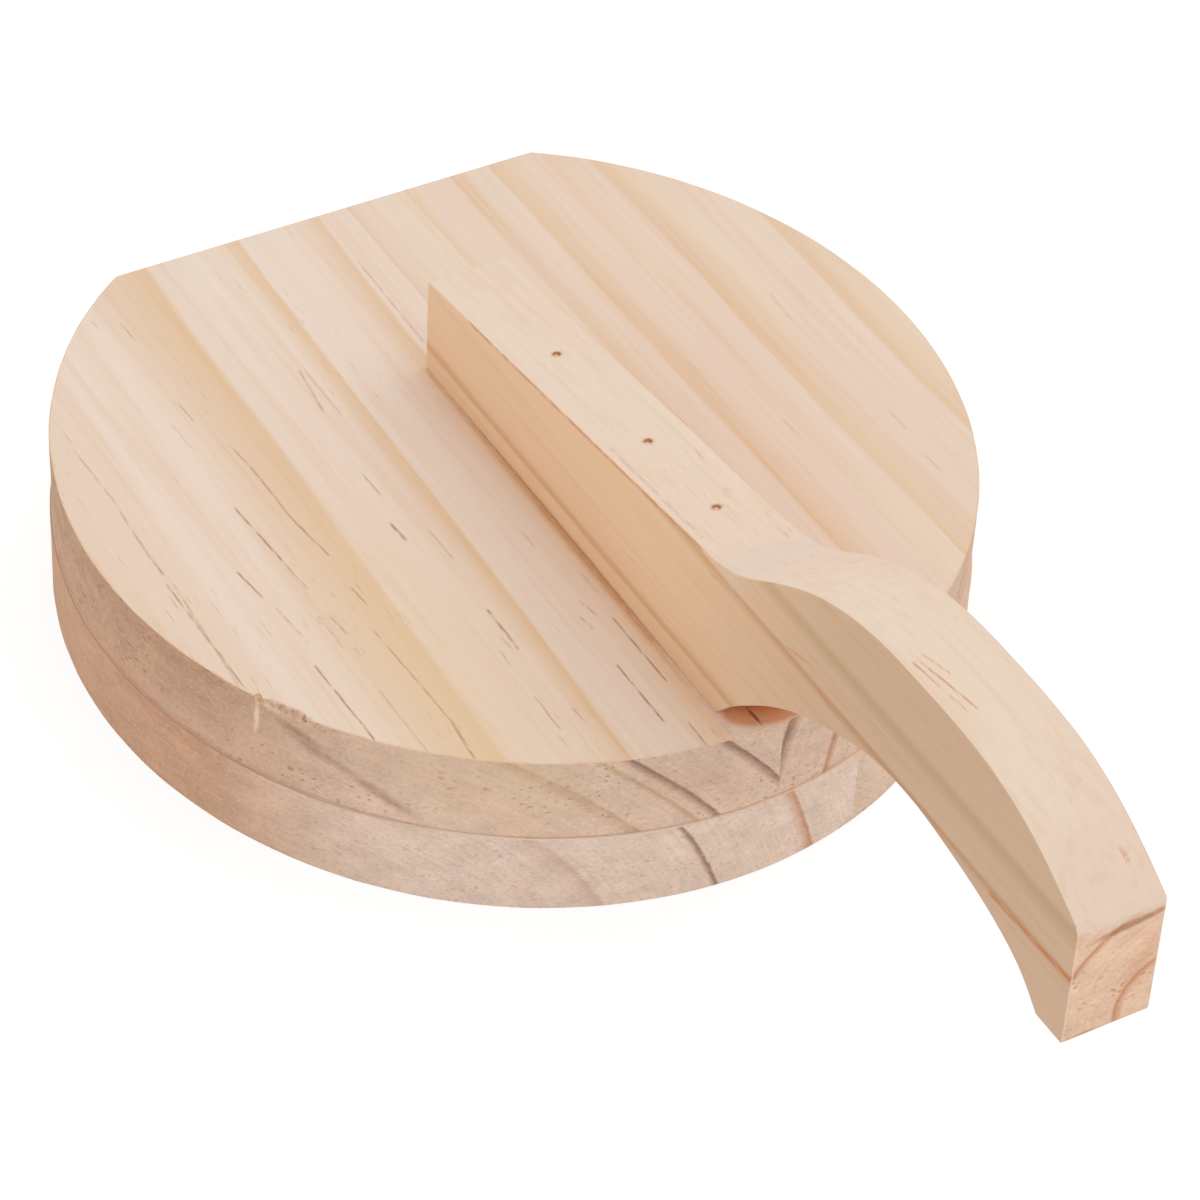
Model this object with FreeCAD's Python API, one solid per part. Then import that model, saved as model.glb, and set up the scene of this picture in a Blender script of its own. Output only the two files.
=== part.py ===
import FreeCAD, Part
import os

# A wooden tortilla press: two oval pine boards, hinged along their flat rear edge, and a gooseneck handle.
# Millimetres. The origin is the centre of the oval on the underside of the lower board, with +X to the
# right, +Y towards the hinges and +Z up. The press is closed.

# Boards
board_width = 200.0
board_front_reach = 105.8        # from the oval's centre to the front
hinge_edge_reach = 89.3          # from the oval's centre to the flat rear edge
lower_board_thickness = 20.0
upper_board_thickness = 21.0
lower_board_overhang = 0.5       # how far the lower board stands out past the upper one
lower_glue_line_x = 27.0
upper_glue_line_x = 4.8

# Handle: lengths run forwards from the foot's rear end, heights rise from the top of the boards
handle_width = 20.0
handle_centre_x = 3.5
handle_rear_y = 29.0
handle_length = 249.5
foot_length = 126.0              # the flat underside that is fixed to the board
foot_rear_height = 24.0
neck_start = 121.0               # where the foot's straight top turns up into the neck
neck_height = 37.6
hump_height = 63.2
arch_height = 34.6
tip_top_height = 47.7
tip_bottom_height = 18.4
tip_flat_length = 8.5
crown_shares = ((0.07, 0.12), (0.155, 0.38), (0.27, 0.71), (0.373, 0.9), (0.487, 0.985),
                (0.602, 1.0), (0.777, 0.93), (0.905, 0.69))
arch_shares = ((0.04, 0.15), (0.09, 0.3), (0.17, 0.51), (0.277, 0.72), (0.416, 0.91),
               (0.547, 1.0), (0.716, 0.95), (0.879, 0.81), (0.944, 0.7))

# Handle nails
nail_shank_radius = 0.75
nail_head_radius = 0.9
nail_head_height = 0.8
nail_point_length = 2.5
nail_set_depth = 0.8             # how far the heads are driven below the wood
nail_point_cover = 4.0           # wood left under the point of the deepest nail
nail_clearance = 0.03
nail_place_shares = (0.313, 0.618, 0.837)    # of the foot's length

# Hinges
hinge_centre_x = 30.0
hinge_length = 30.0
leaf_height = 14.0
leaf_thickness = 1.0
leaf_corner_radius = 2.0
pin_radius = 1.25
pin_chamfer = 0.3
pin_running_clearance = 0.05
knuckle_count = 5
knuckle_gap = 0.3                # between neighbouring knuckles
knuckle_standoff = 0.3           # between the knuckles and the wood
notch_clearance = 0.4

# Hinge screws
screw_spacing = 18.0
screw_height = 8.4               # above or below the pin
screw_length = 13.0
screw_shank_radius = 1.4
screw_head_radius = 2.4
screw_point_length = 3.0
screw_clearance = 0.05
recess_length = 2.6
recess_width = 0.6
recess_depth = 0.8

# One overrun for every cut, and how close two places are to count as one
overrun = 5.0
touching = 0.001

# Derived places
seam_z = lower_board_thickness
board_top_z = lower_board_thickness + upper_board_thickness
half_width = board_width / 2
knuckle_radius = pin_radius + leaf_thickness
pin_y = hinge_edge_reach + knuckle_standoff + knuckle_radius
knuckle_pitch = hinge_length / knuckle_count


def vector(x, y, z):
    return FreeCAD.Vector(x, y, z)


def box_between(low, high):
    """Box from its low corner to its high corner."""
    size = [b - a for a, b in zip(low, high)]
    return Part.makeBox(*size, vector(*low))


def cut_all(shape, tools):
    for tool in tools:
        shape = shape.cut(tool)
    return shape


def oval_prism(half_x, half_y, bottom, height):
    """Upright oval block about the origin's vertical axis."""
    across = vector(half_x, 0, bottom)
    along = vector(0, half_y, bottom)
    longer, shorter = (along, across) if half_y >= half_x else (across, along)
    oval = Part.Ellipse(longer, shorter, vector(0, 0, bottom))
    return Part.Face(Part.Wire(oval.toShape())).extrude(vector(0, 0, height))


def board(overhang, bottom, thickness):
    """Oval board with its rear cut flat for the hinges."""
    half_x = half_width + overhang
    half_y = board_front_reach + overhang
    rear = box_between((-half_x - overrun, hinge_edge_reach, bottom - overrun),
                       (half_x + overrun, half_y + overrun, bottom + thickness + overrun))
    return oval_prism(half_x, half_y, bottom, thickness).cut(rear)


def staves(whole, glue_line_x):
    """Left and right stave of a board, split at its glue line."""
    box = whole.BoundBox
    left_block = box_between((box.XMin - overrun, box.YMin - overrun, box.ZMin - overrun),
                             (glue_line_x, box.YMax + overrun, box.ZMax + overrun))
    return whole.common(left_block), whole.cut(left_block)


def straight(start, end):
    return Part.makeLine(vector(*start), vector(*end))


def spline(points):
    curve = Part.BSplineCurve()
    curve.interpolate([vector(*point) for point in points])
    return curve.toShape()


def handle_bar():
    """Gooseneck bar: its side outline, as wide as the handle."""
    side_x = handle_centre_x - handle_width / 2

    def spot(along, height):
        return side_x, handle_rear_y - along, board_top_z + height

    crown_length = handle_length - neck_start
    crown_rise = hump_height - neck_height
    crown = [spot(neck_start, neck_height)]
    crown += [spot(neck_start + a * crown_length, neck_height + b * crown_rise) for a, b in crown_shares]
    crown += [spot(handle_length, tip_top_height)]
    arch_end = handle_length - tip_flat_length
    arch_length = arch_end - foot_length
    arch = [spot(foot_length, 0)]
    arch += [spot(foot_length + a * arch_length, b * arch_height) for a, b in arch_shares]
    arch += [spot(arch_end, tip_bottom_height)]
    foot_rear = spot(0, 0)
    foot_rear_top = spot(0, foot_rear_height)
    tip_corner = spot(handle_length, tip_bottom_height)
    edges = [
        straight(foot_rear, foot_rear_top),
        straight(foot_rear_top, crown[0]),
        spline(crown),
        straight(crown[-1], tip_corner),
        straight(tip_corner, arch[-1]),
        spline(arch),
        straight(arch[0], foot_rear),
    ]
    return Part.Face(Part.Wire(edges)).extrude(vector(handle_width, 0, 0))


def foot_top(along):
    """Height of the foot's straight top above the boards, at a length from its rear end."""
    return foot_rear_height + (neck_height - foot_rear_height) * along / neck_start


def nail_places():
    """Height of each nail's head above the boards, by its length from the foot's rear end."""
    return [(share * foot_length, foot_top(share * foot_length) - nail_set_depth)
            for share in nail_place_shares]


def nail_length():
    """One length for all three: the nail at the lowest part of the foot goes deepest."""
    lowest_head = min(head for along, head in nail_places())
    return lowest_head + upper_board_thickness - nail_point_cover


def nail(along, head, clearance, above):
    """A nail pointing down, or with a clearance and a height above it, the hole that it fills."""
    x, y, z = handle_centre_x, handle_rear_y - along, board_top_z + head
    down = vector(0, 0, -1)
    shank_radius = nail_shank_radius + clearance
    straight_length = nail_length() - nail_point_length
    head_bottom = vector(x, y, z - nail_head_height - clearance)
    head_height = nail_head_height + clearance + above
    shapes = [
        Part.makeCylinder(nail_head_radius + clearance, head_height, head_bottom),
        Part.makeCylinder(shank_radius, straight_length, vector(x, y, z), down),
        Part.makeCone(shank_radius, 0, nail_point_length + clearance, vector(x, y, z - straight_length), down),
    ]
    return shapes[0].multiFuse(shapes[1:]).removeSplitter()


def nail_holes():
    return [nail(along, head, nail_clearance, nail_set_depth + overrun) for along, head in nail_places()]


def screw_spots(hinge_x, level):
    """Outer and inner screw of one leaf: name and centre of the head's flat top."""
    outward = 1 if hinge_x > 0 else -1
    z = seam_z + level * screw_height
    y = hinge_edge_reach + leaf_thickness
    return [("outer", vector(hinge_x + outward * screw_spacing / 2, y, z)),
            ("inner", vector(hinge_x - outward * screw_spacing / 2, y, z))]


def screw_blank(spot, clearance):
    """Countersunk screw without its recess, or with a clearance, the hole that it fills."""
    forwards = vector(0, -1, 0)
    shank_radius = screw_shank_radius + clearance
    straight_length = screw_length - screw_point_length
    point_spot = spot + forwards * straight_length
    shapes = [
        Part.makeCone(screw_head_radius + clearance, shank_radius, leaf_thickness, spot, forwards),
        Part.makeCylinder(shank_radius, straight_length, spot, forwards),
        Part.makeCone(shank_radius, 0, screw_point_length + clearance, point_spot, forwards),
    ]
    return shapes[0].multiFuse(shapes[1:]).removeSplitter()


def screw(spot):
    """Countersunk wood screw with a cross recess in its head."""
    across = vector(recess_length / 2, recess_depth, recess_width / 2)
    upright = vector(recess_width / 2, recess_depth, recess_length / 2)
    slots = [box_between(spot - reach, spot + reach) for reach in (across, upright)]
    return cut_all(screw_blank(spot, 0), slots)


def far_corners(plate, edge_z):
    """The two short edges, through the leaf's thickness, at the edge away from the pin."""
    return [e for e in plate.Edges
            if abs(e.Length - leaf_thickness) < touching and abs(e.CenterOfMass.z - edge_z) < touching]


def hinge_leaf(hinge_x, level):
    """One leaf, above the pin where level is 1 and below it where level is -1."""
    left = hinge_x - hinge_length / 2
    front, back = hinge_edge_reach, hinge_edge_reach + leaf_thickness
    notch = level * (knuckle_radius + notch_clearance)
    edge = level * leaf_height
    plate = box_between((left, front, seam_z + min(notch, edge)),
                        (left + hinge_length, back, seam_z + max(notch, edge)))
    plate = plate.makeFillet(leaf_corner_radius, far_corners(plate, seam_z + edge))
    first = 0 if level < 0 else 1
    bore_radius = pin_radius if level < 0 else pin_radius + pin_running_clearance
    pieces = []
    for index in range(first, knuckle_count, 2):
        low_x = left + index * knuckle_pitch + knuckle_gap / 2
        width = knuckle_pitch - knuckle_gap
        pieces.append(box_between((low_x, front, seam_z + min(0, notch)),
                                  (low_x + width, back, seam_z + max(0, notch))))
        pieces.append(Part.makeCylinder(knuckle_radius, width, vector(low_x, pin_y, seam_z), vector(1, 0, 0)))
    bore = Part.makeCylinder(bore_radius, hinge_length + 2 * overrun,
                             vector(left - overrun, pin_y, seam_z), vector(1, 0, 0))
    holes = [screw_blank(spot, screw_clearance) for name, spot in screw_spots(hinge_x, level)]
    return cut_all(plate.multiFuse(pieces).removeSplitter(), [bore] + holes)


def hinge_pin(hinge_x):
    start = vector(hinge_x - hinge_length / 2, pin_y, seam_z)
    pin = Part.makeCylinder(pin_radius, hinge_length, start, vector(1, 0, 0))
    rims = [e for e in pin.Edges if isinstance(e.Curve, Part.Circle)]
    return pin.makeChamfer(pin_chamfer, rims)


def all_hinges():
    """Name, place along the hinge edge, and levels with their names."""
    return [(side, sign * hinge_centre_x) for side, sign in (("left", -1), ("right", 1))]


def screw_holes(level):
    return [screw_blank(spot, screw_clearance)
            for side, hinge_x in all_hinges() for name, spot in screw_spots(hinge_x, level)]


def lower_board_pieces():
    whole = board(lower_board_overhang, 0, lower_board_thickness)
    left, right = staves(cut_all(whole, screw_holes(-1)), lower_glue_line_x)
    return {"lower_board_left_stave": left, "lower_board_right_stave": right}


def upper_board_pieces():
    whole = board(0, seam_z, upper_board_thickness)
    left, right = staves(cut_all(whole, screw_holes(1) + nail_holes()), upper_glue_line_x)
    return {"upper_board_left_stave": left, "upper_board_right_stave": right}


def handle_pieces():
    pieces = {"handle": cut_all(handle_bar(), nail_holes())}
    for name, (along, head) in zip(("rear", "middle", "front"), nail_places()):
        pieces[name + "_handle_nail"] = nail(along, head, 0, 0)
    return pieces


def hinge_pieces():
    pieces = {}
    for side, hinge_x in all_hinges():
        hinge = side + "_hinge_"
        pieces[hinge + "pin"] = hinge_pin(hinge_x)
        for level_name, level in (("lower", -1), ("upper", 1)):
            pieces[hinge + level_name + "_leaf"] = hinge_leaf(hinge_x, level)
            for place, spot in screw_spots(hinge_x, level):
                pieces[hinge + level_name + "_" + place + "_screw"] = screw(spot)
    return pieces


os.makedirs("parts", exist_ok=True)
for make in (lower_board_pieces, upper_board_pieces, handle_pieces, hinge_pieces):
    for node, shape in make().items():
        shape.exportStep("parts/" + node + ".step")
        print(node, len(shape.Solids), shape.isValid(), round(shape.Volume, 1))
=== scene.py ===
"""A wooden tortilla press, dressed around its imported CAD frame.

Two oval pine boards hinged along their flat rear edge, with a gooseneck handle. Meshes are in metres in the
frame of the CAD: +X right, +Y towards the hinges, +Z up, with the press closed. The wood is worked out in
millimetres.
"""
import logging
import math
from dataclasses import dataclass
from enum import Enum
from typing import Any, Callable, Mapping, Sequence

import bmesh
import bpy
import numpy as np
from mathutils import Matrix, Vector, noise


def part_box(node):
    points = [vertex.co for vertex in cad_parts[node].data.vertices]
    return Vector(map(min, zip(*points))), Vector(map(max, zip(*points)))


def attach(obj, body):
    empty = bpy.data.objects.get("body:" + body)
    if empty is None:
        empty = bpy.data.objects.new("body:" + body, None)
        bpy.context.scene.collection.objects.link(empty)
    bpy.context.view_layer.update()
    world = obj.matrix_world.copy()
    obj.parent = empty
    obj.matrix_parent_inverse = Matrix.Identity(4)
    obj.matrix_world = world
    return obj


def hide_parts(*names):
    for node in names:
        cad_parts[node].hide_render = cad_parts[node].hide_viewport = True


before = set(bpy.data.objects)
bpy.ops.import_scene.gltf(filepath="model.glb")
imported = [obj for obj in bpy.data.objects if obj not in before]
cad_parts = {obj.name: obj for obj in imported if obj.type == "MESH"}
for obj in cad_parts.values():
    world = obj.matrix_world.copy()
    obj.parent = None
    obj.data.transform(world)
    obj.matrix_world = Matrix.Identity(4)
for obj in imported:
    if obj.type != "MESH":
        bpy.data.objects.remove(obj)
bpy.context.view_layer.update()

log = logging.getLogger("press")

MM = 0.001
Colour = tuple[float, float, float]
Spot = tuple[float, float, float]
PLAIN = (1.0, 1.0, 1.0)
SEED_STEPS = (7.3, 3.1, 5.7)
SIDES = ("left", "right")
PLACE_INPUTS = ("First Place", "Second Place", "Third Place", "Fourth Place")

# Heights of the boards' tops and the handle's front end, in mm
BASE_TOP = 20.0
LID_TOP = 41.0
GRIP_TIP = -220.5

# Places of the boards' glue lines along X, in metres
LOWER_GLUE_LINE = 27.0 * MM
UPPER_GLUE_LINE = 4.8 * MM


def tone(red: float, green: float, blue: float) -> Colour:
    """Turns an sRGB colour of 0 to 255 into a linear one.

    Args:
        red: Red of 0 to 255.
        green: Green of 0 to 255.
        blue: Blue of 0 to 255.

    Returns:
        The linear colour of 0 to 1.
    """
    shares = (value / 255 for value in (red, green, blue))
    return tuple(s / 12.92 if s <= 0.04045 else ((s + 0.055) / 1.055) ** 2.4 for s in shares)


# Node helpers


def arithmetic(operation: str, swapped: bool = False) -> Callable[["Wire", "Wire | float"], "Wire"]:
    """Makes one of Wire's operators, which adds a Math node.

    Args:
        operation: The node's operation.
        swapped: Whether the other value comes first.

    Returns:
        The operator.
    """
    def operator(wire: "Wire", other: "Wire | float") -> "Wire":
        """Adds the node."""
        values = (other, wire) if swapped else (wire, other)
        return wire.nodes.math(operation, *values)

    return operator


class Wire:
    """An output socket. Arithmetic on it adds Math nodes to its tree."""

    __add__ = __radd__ = arithmetic("ADD")
    __sub__ = arithmetic("SUBTRACT")
    __rsub__ = arithmetic("SUBTRACT", swapped=True)
    __mul__ = __rmul__ = arithmetic("MULTIPLY")
    __truediv__ = arithmetic("DIVIDE")
    __rtruediv__ = arithmetic("DIVIDE", swapped=True)
    __gt__ = arithmetic("GREATER_THAN")

    def __init__(self, nodes: "Nodes", socket: bpy.types.NodeSocket) -> None:
        """Keeps the tree and the socket."""
        self.nodes = nodes
        self.socket = socket

    def output(self, key: int | str) -> "Wire":
        """Another output of the same node."""
        return Wire(self.nodes, self.socket.node.outputs[key])


class Nodes:
    """Adds nodes to one shader or geometry tree."""

    def __init__(self, tree: bpy.types.NodeTree) -> None:
        """Keeps the tree."""
        self.tree = tree
        self.entry: bpy.types.Node | None = None

    def add(self, kind: str, values: Mapping[int | str, Any] | None = None,
            settings: Mapping[str, Any] | None = None, out: int | str = 0) -> Wire:
        """Adds one node.

        Args:
            kind: The node's type.
            values: Values or wires for its input sockets, by name or place.
            settings: The node's own settings, or a ramp's stops, which are set first.
            out: Name or place of the output that is wanted.

        Returns:
            A wire from that output.
        """
        node = self.tree.nodes.new(kind)
        for name, value in (settings or {}).items():
            if name == "stops":
                self._set_stops(node.color_ramp, value)
            else:
                setattr(node, name, value)
        for key, value in (values or {}).items():
            self._plug(node.inputs[key], value)
        return Wire(self, node.outputs[out])

    def _plug(self, socket: bpy.types.NodeSocket, value: Any) -> None:
        """Links a wire to a socket, or sets the socket's own value."""
        if isinstance(value, Wire):
            self.tree.links.new(value.socket, socket)
        elif socket.type == "RGBA":
            socket.default_value = (*value, 1.0)
        else:
            socket.default_value = value

    @staticmethod
    def _set_stops(ramp: bpy.types.ColorRamp, stops: Sequence[tuple[float, Colour]]) -> None:
        """Gives a ramp its stops, in rising order."""
        while len(ramp.elements) > 1:
            ramp.elements.remove(ramp.elements[-1])
        ramp.elements[0].position = stops[0][0]
        for place, _ in stops[1:]:
            ramp.elements.new(place)
        for element, (_, colour) in zip(ramp.elements, stops):
            element.color = (*colour, 1.0)

    def math(self, operation: str, *values: Wire | float) -> Wire:
        """A Math node."""
        return self.add("ShaderNodeMath", dict(enumerate(values)), {"operation": operation})

    def vector(self, operation: str, *values: Wire | Spot, out: int = 0) -> Wire:
        """A Vector Math node."""
        return self.add("ShaderNodeVectorMath", dict(enumerate(values)), {"operation": operation}, out)

    def split(self, spot: Wire) -> tuple[Wire, Wire, Wire]:
        """The X, Y and Z of a vector."""
        first = self.add("ShaderNodeSeparateXYZ", {0: spot})
        return first, first.output(1), first.output(2)

    def join(self, x: Wire | float, y: Wire | float, z: Wire | float) -> Wire:
        """A vector of three values."""
        return self.add("ShaderNodeCombineXYZ", {0: x, 1: y, 2: z})

    def scaled(self, spot: Wire, share: Wire | float) -> Wire:
        """A vector or colour times a value."""
        return self.add("ShaderNodeVectorMath", {0: spot, "Scale": share}, {"operation": "SCALE"})

    def mix(self, low: Wire | Colour, high: Wire | Colour, share: Wire | float, blend: str = "MIX") -> Wire:
        """Two colours, mixed or blended."""
        settings = {"data_type": "RGBA", "blend_type": blend, "clamp_factor": True}
        return self.add("ShaderNodeMix", {0: share, 6: low, 7: high}, settings, 2)

    def smooth(self, value: Wire, low: float, high: float) -> Wire:
        """0 at low and 1 at high, smoothly between."""
        settings = {"interpolation_type": "SMOOTHSTEP"}
        return self.add("ShaderNodeMapRange", {"Value": value, "From Min": low, "From Max": high}, settings)

    def spot_mm(self) -> Wire:
        """The place on the object, in mm."""
        place = self.add("ShaderNodeTexCoord", out="Object")
        return self.scaled(place, 1 / MM)

    def noted(self, name: str) -> Wire:
        """A value that the mesh keeps for each of its faces."""
        return self.add("ShaderNodeAttribute", settings={"attribute_name": name}, out="Fac")

    def bump(self, height: Wire, reach: float, strength: float) -> Wire:
        """A normal that follows a height, of which 1 stands for the reach."""
        return self.add("ShaderNodeBump", {"Height": height, "Distance": reach, "Strength": strength})

    def take(self, kind: str, *names: str) -> None:
        """Gives a geometry tree named inputs of one kind."""
        for name in names:
            self.tree.interface.new_socket(name=name, in_out="INPUT", socket_type="NodeSocket" + kind)

    def given(self, name: str) -> Wire:
        """A wire from one of a geometry tree's inputs."""
        if self.entry is None:
            self.entry = self.tree.nodes.new("NodeGroupInput")
        return Wire(self, self.entry.outputs[name])

    def give(self, shape: Wire) -> bpy.types.NodeTree:
        """Ends a geometry tree in a shape, realized and with the material given, and returns the tree."""
        whole = self.add("GeometryNodeRealizeInstances", {"Geometry": shape})
        values = {"Geometry": whole, "Material": self.given("Material")}
        dressed = self.add("GeometryNodeSetMaterial", values)
        self.tree.interface.new_socket(name="Geometry", in_out="OUTPUT", socket_type="NodeSocketGeometry")
        self.tree.links.new(dressed.socket, self.tree.nodes.new("NodeGroupOutput").inputs[0])
        return self.tree


# Finishes


class Latewood(Enum):
    """How much red, green and blue a band of latewood leaves of the plain wood's."""

    FAINT = (0.985, 0.955, 0.91)
    SOFT = (0.965, 0.90, 0.80)
    STRONG = (0.935, 0.81, 0.62)
    MIDDLING = (0.955, 0.855, 0.715)
    KHAKI = (0.84, 0.82, 0.70)
    OLIVE = (0.80, 0.73, 0.60)
    RUSTY = (0.84, 0.69, 0.57)
    ORANGE = (0.74, 0.50, 0.36)
    PURPLE = (0.42, 0.30, 0.27)
    BROWN = (0.87, 0.80, 0.75)


@dataclass(frozen=True)
class Grain:
    """Noise with blobs of a size in mm, as a plain value or as soft patches."""

    size: Spot
    detail: float
    seed: float = 0.0
    start: float = 0.35
    full: float = 0.65

    def value(self, nodes: Nodes, spot: Wire, seed: float = 0.0) -> Wire:
        """A value of 0 to 1, with another pattern for another seed."""
        shares = tuple(1 / side for side in self.size)
        shift = tuple((seed + self.seed) * step for step in SEED_STEPS)
        place = nodes.vector("MULTIPLY_ADD", spot, shares, shift)
        return nodes.add("ShaderNodeTexNoise", {"Vector": place, "Scale": 1.0, "Detail": self.detail})

    def patches(self, nodes: Nodes, spot: Wire, seed: float = 0.0) -> Wire:
        """0 where the value is below the patches' start and 1 where they are full."""
        return nodes.smooth(self.value(nodes, spot, seed), self.start, self.full)


SLOW_BENDS = Grain((60.0, 110.0, 45.0), 1.0)
QUICK_BENDS = Grain((2.2, 16.0, 2.2), 3.0)
PINK = Grain((15.0, 200.0, 15.0), 1.0, 1.0)
FIBRES = Grain((0.45, 18.0, 0.45), 3.0, 2.0)
FLECKS = Grain((0.5, 6.0, 0.5), 0.0, 3.0, 0.72, 0.80)
FLECK_CROWDS = Grain((14.0, 50.0, 14.0), 1.0, 4.0, 0.5, 0.62)
SPECKS = Grain((0.9, 0.9, 0.5), 3.0, 5.0)
TORN_FIBRES = Grain((1.2, 1.2, 0.8), 3.0, 5.0, 0.54, 0.72)
CLOUDS = Grain((7.0, 9.0, 4.5), 2.0, 6.0)
PITS = Grain((1.2, 2.2, 0.8), 0.0, 7.0, 0.70, 0.77)
# Mottles the rims' painted highlight and the seams' painted ledge highlight, as rubbing would
WEAR_AND_SHEEN = Grain((3.0, 3.0, 3.0), 2.0, 8.0)
STRIPES = Grain((1.8, 70.0, 1.8), 2.0, 9.0, 0.45, 0.75)
HUES = Grain((5.0, 5.0, 3.0), 3.0, 10.0)
FRAYING = Grain((1.6, 3.0, 1.6), 2.0, 11.0)
DASH_BREAKS = Grain((0.5, 4.0, 0.5), 2.0, 12.0, 0.34, 0.58)
HOLLOWS = Grain((1.3, 1.3, 0.8), 3.0, 13.0, 0.54, 0.72)
PIT_CROWDS = Grain((20.0, 20.0, 12.0), 1.0, 14.0, 0.42, 0.6)
STREAKS = Grain((0.8, 1.0, 1.0), 2.0, 15.0)
TARNISH = Grain((4.0, 4.0, 4.0), 4.0, 2.0, 0.45, 0.75)
STEEL_PITS = Grain((0.35, 0.35, 0.35), 1.0, 3.0, 0.62, 0.75)


@dataclass(frozen=True)
class Ring:
    """One growth ring's latewood, which darkens slowly outwards and then ends sharply."""

    place: float
    width: float
    latewood: Latewood
    cut: Latewood | None = None
    cut_width: float = 1.6
    edge: float = 0.7


@dataclass(frozen=True)
class Mark:
    """A stain or smear in the wood, or a patch of painted shade or light on it: a soft, frayed ellipsoid
    about a line, in mm.
    """

    start: Spot
    end: Spot
    width: float
    depth: float
    tint: Colour
    core: float = 0.35
    frayed: float = 0.6

    def mask(self, nodes: Nodes, spot: Wire, fray: Wire) -> Wire:
        """How strongly the mark shows at a place."""
        start, end = Vector(self.start), Vector(self.end)
        turn = Vector((0.0, 1.0, 0.0)).rotation_difference(end - start).to_euler()
        half = self.width / 2
        values = {"Vector": spot, "Location": (start + end) / 2, "Rotation": turn,
                  "Scale": (half, (end - start).length / 2 + half, half)}
        inside = nodes.add("ShaderNodeMapping", values, {"vector_type": "TEXTURE"})
        distance = nodes.vector("LENGTH", inside, out=1) + fray * self.frayed
        return nodes.smooth(distance, 1.0, self.core) * self.depth


@dataclass(frozen=True)
class Dash:
    """A resin dash along the grain, or a painted line of contact shade: where its rear and front ends are
    across the face and along Y.
    """

    across: float
    along: float
    end_across: float
    end_along: float
    depth: float
    width: float = 0.8

    def stops(self, fade: float) -> list[tuple[float, float, float]]:
        """Its place along Y, place across and depth, from before its rear end to behind its front end."""
        return [(self.along + fade, self.across, 0.0), (self.along, self.across, self.depth),
                (self.end_along, self.end_across, self.depth), (self.end_along - fade, self.end_across, 0.0)]


def dashes(*rows: tuple[float, ...]) -> tuple[Dash, ...]:
    """Dashes from rows of their values."""
    return tuple(Dash(*row) for row in rows)


@dataclass(frozen=True)
class Lanes:
    """Dashes drawn along Y. One ramp holds all the dashes of a lane, of which no two lie side by side."""

    dashes: tuple[Dash, ...]
    fade: float = 1.0
    most: int = 7
    core: float = 0.3

    def shared_out(self) -> list[list[Dash]]:
        """The dashes of each lane, from the rear to the front."""
        found: list[list[Dash]] = []
        for dash in sorted(self.dashes, key=lambda one: -one.along):
            free = [lane for lane in found
                    if len(lane) < self.most and lane[-1].end_along - dash.along > 4 * self.fade]
            if free:
                free[0].append(dash)
            else:
                found.append([dash])
        return found

    def mask(self, nodes: Nodes, across: Wire, along: Wire) -> Wire:
        """How strongly any dash shows.

        Args:
            nodes: The shader's nodes.
            across: The place across the face.
            along: The place along Y.

        Returns:
            The darkest dash's depth at the place, of 0 to 1.
        """
        rear = max(dash.along for dash in self.dashes) + 2 * self.fade
        front = min(dash.end_along for dash in self.dashes) - 2 * self.fade
        sides = [side for dash in self.dashes for side in (dash.across, dash.end_across)]
        low, span = min(sides), max(sides) - min(sides) + 1.0
        widest = max(dash.width for dash in self.dashes)
        far = (rear - along) / (rear - front)
        found: Wire | None = None
        for lane in self.shared_out():
            stops = [((rear - spot) / (rear - front), ((side - low) / span, depth, dash.width / widest))
                     for dash in lane for spot, side, depth in dash.stops(self.fade)]
            ramp = nodes.add("ShaderNodeValToRGB", {0: far}, {"stops": stops})
            side, depth, width = nodes.split(ramp)
            away = nodes.math("ABSOLUTE", across - (side * span + low)) / (width * (widest / 2))
            mask = nodes.smooth(away, 1.0, self.core) * depth
            found = mask if found is None else nodes.math("MAXIMUM", found, mask)
        return found


@dataclass(frozen=True)
class Texture:
    """How strongly each unevenness, worn edges, the painted highlight of the rims and the painted shade of
    the seams show in the colour, height and roughness of pine.
    """

    fibre_shade: float = 0.07
    fibre_height: float = 0.12
    fibre_roughness: float = 0.14
    speck_shade: float = 0.36
    speck_height: float = 0.7
    cloud_shade: float = 0.38
    streak_shade: float = 0.26
    streak_stretch: float = 0.1
    wall_least: float = 0.505
    torn: float = 0.24
    hollow: float = 0.22
    dash_least: float = 0.1
    dash_breaks: float = 0.85
    rim_least: float = 0.15
    rim_wear_and_sheen: float = 0.55
    open_least: float = 0.3
    open_wear_and_sheen: float = 0.5
    seam: float = 0.95
    roughness: float = 0.52
    sawn_roughness: float = 0.18
    relief: float = 0.35 * MM
    relief_strength: float = 0.8


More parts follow.
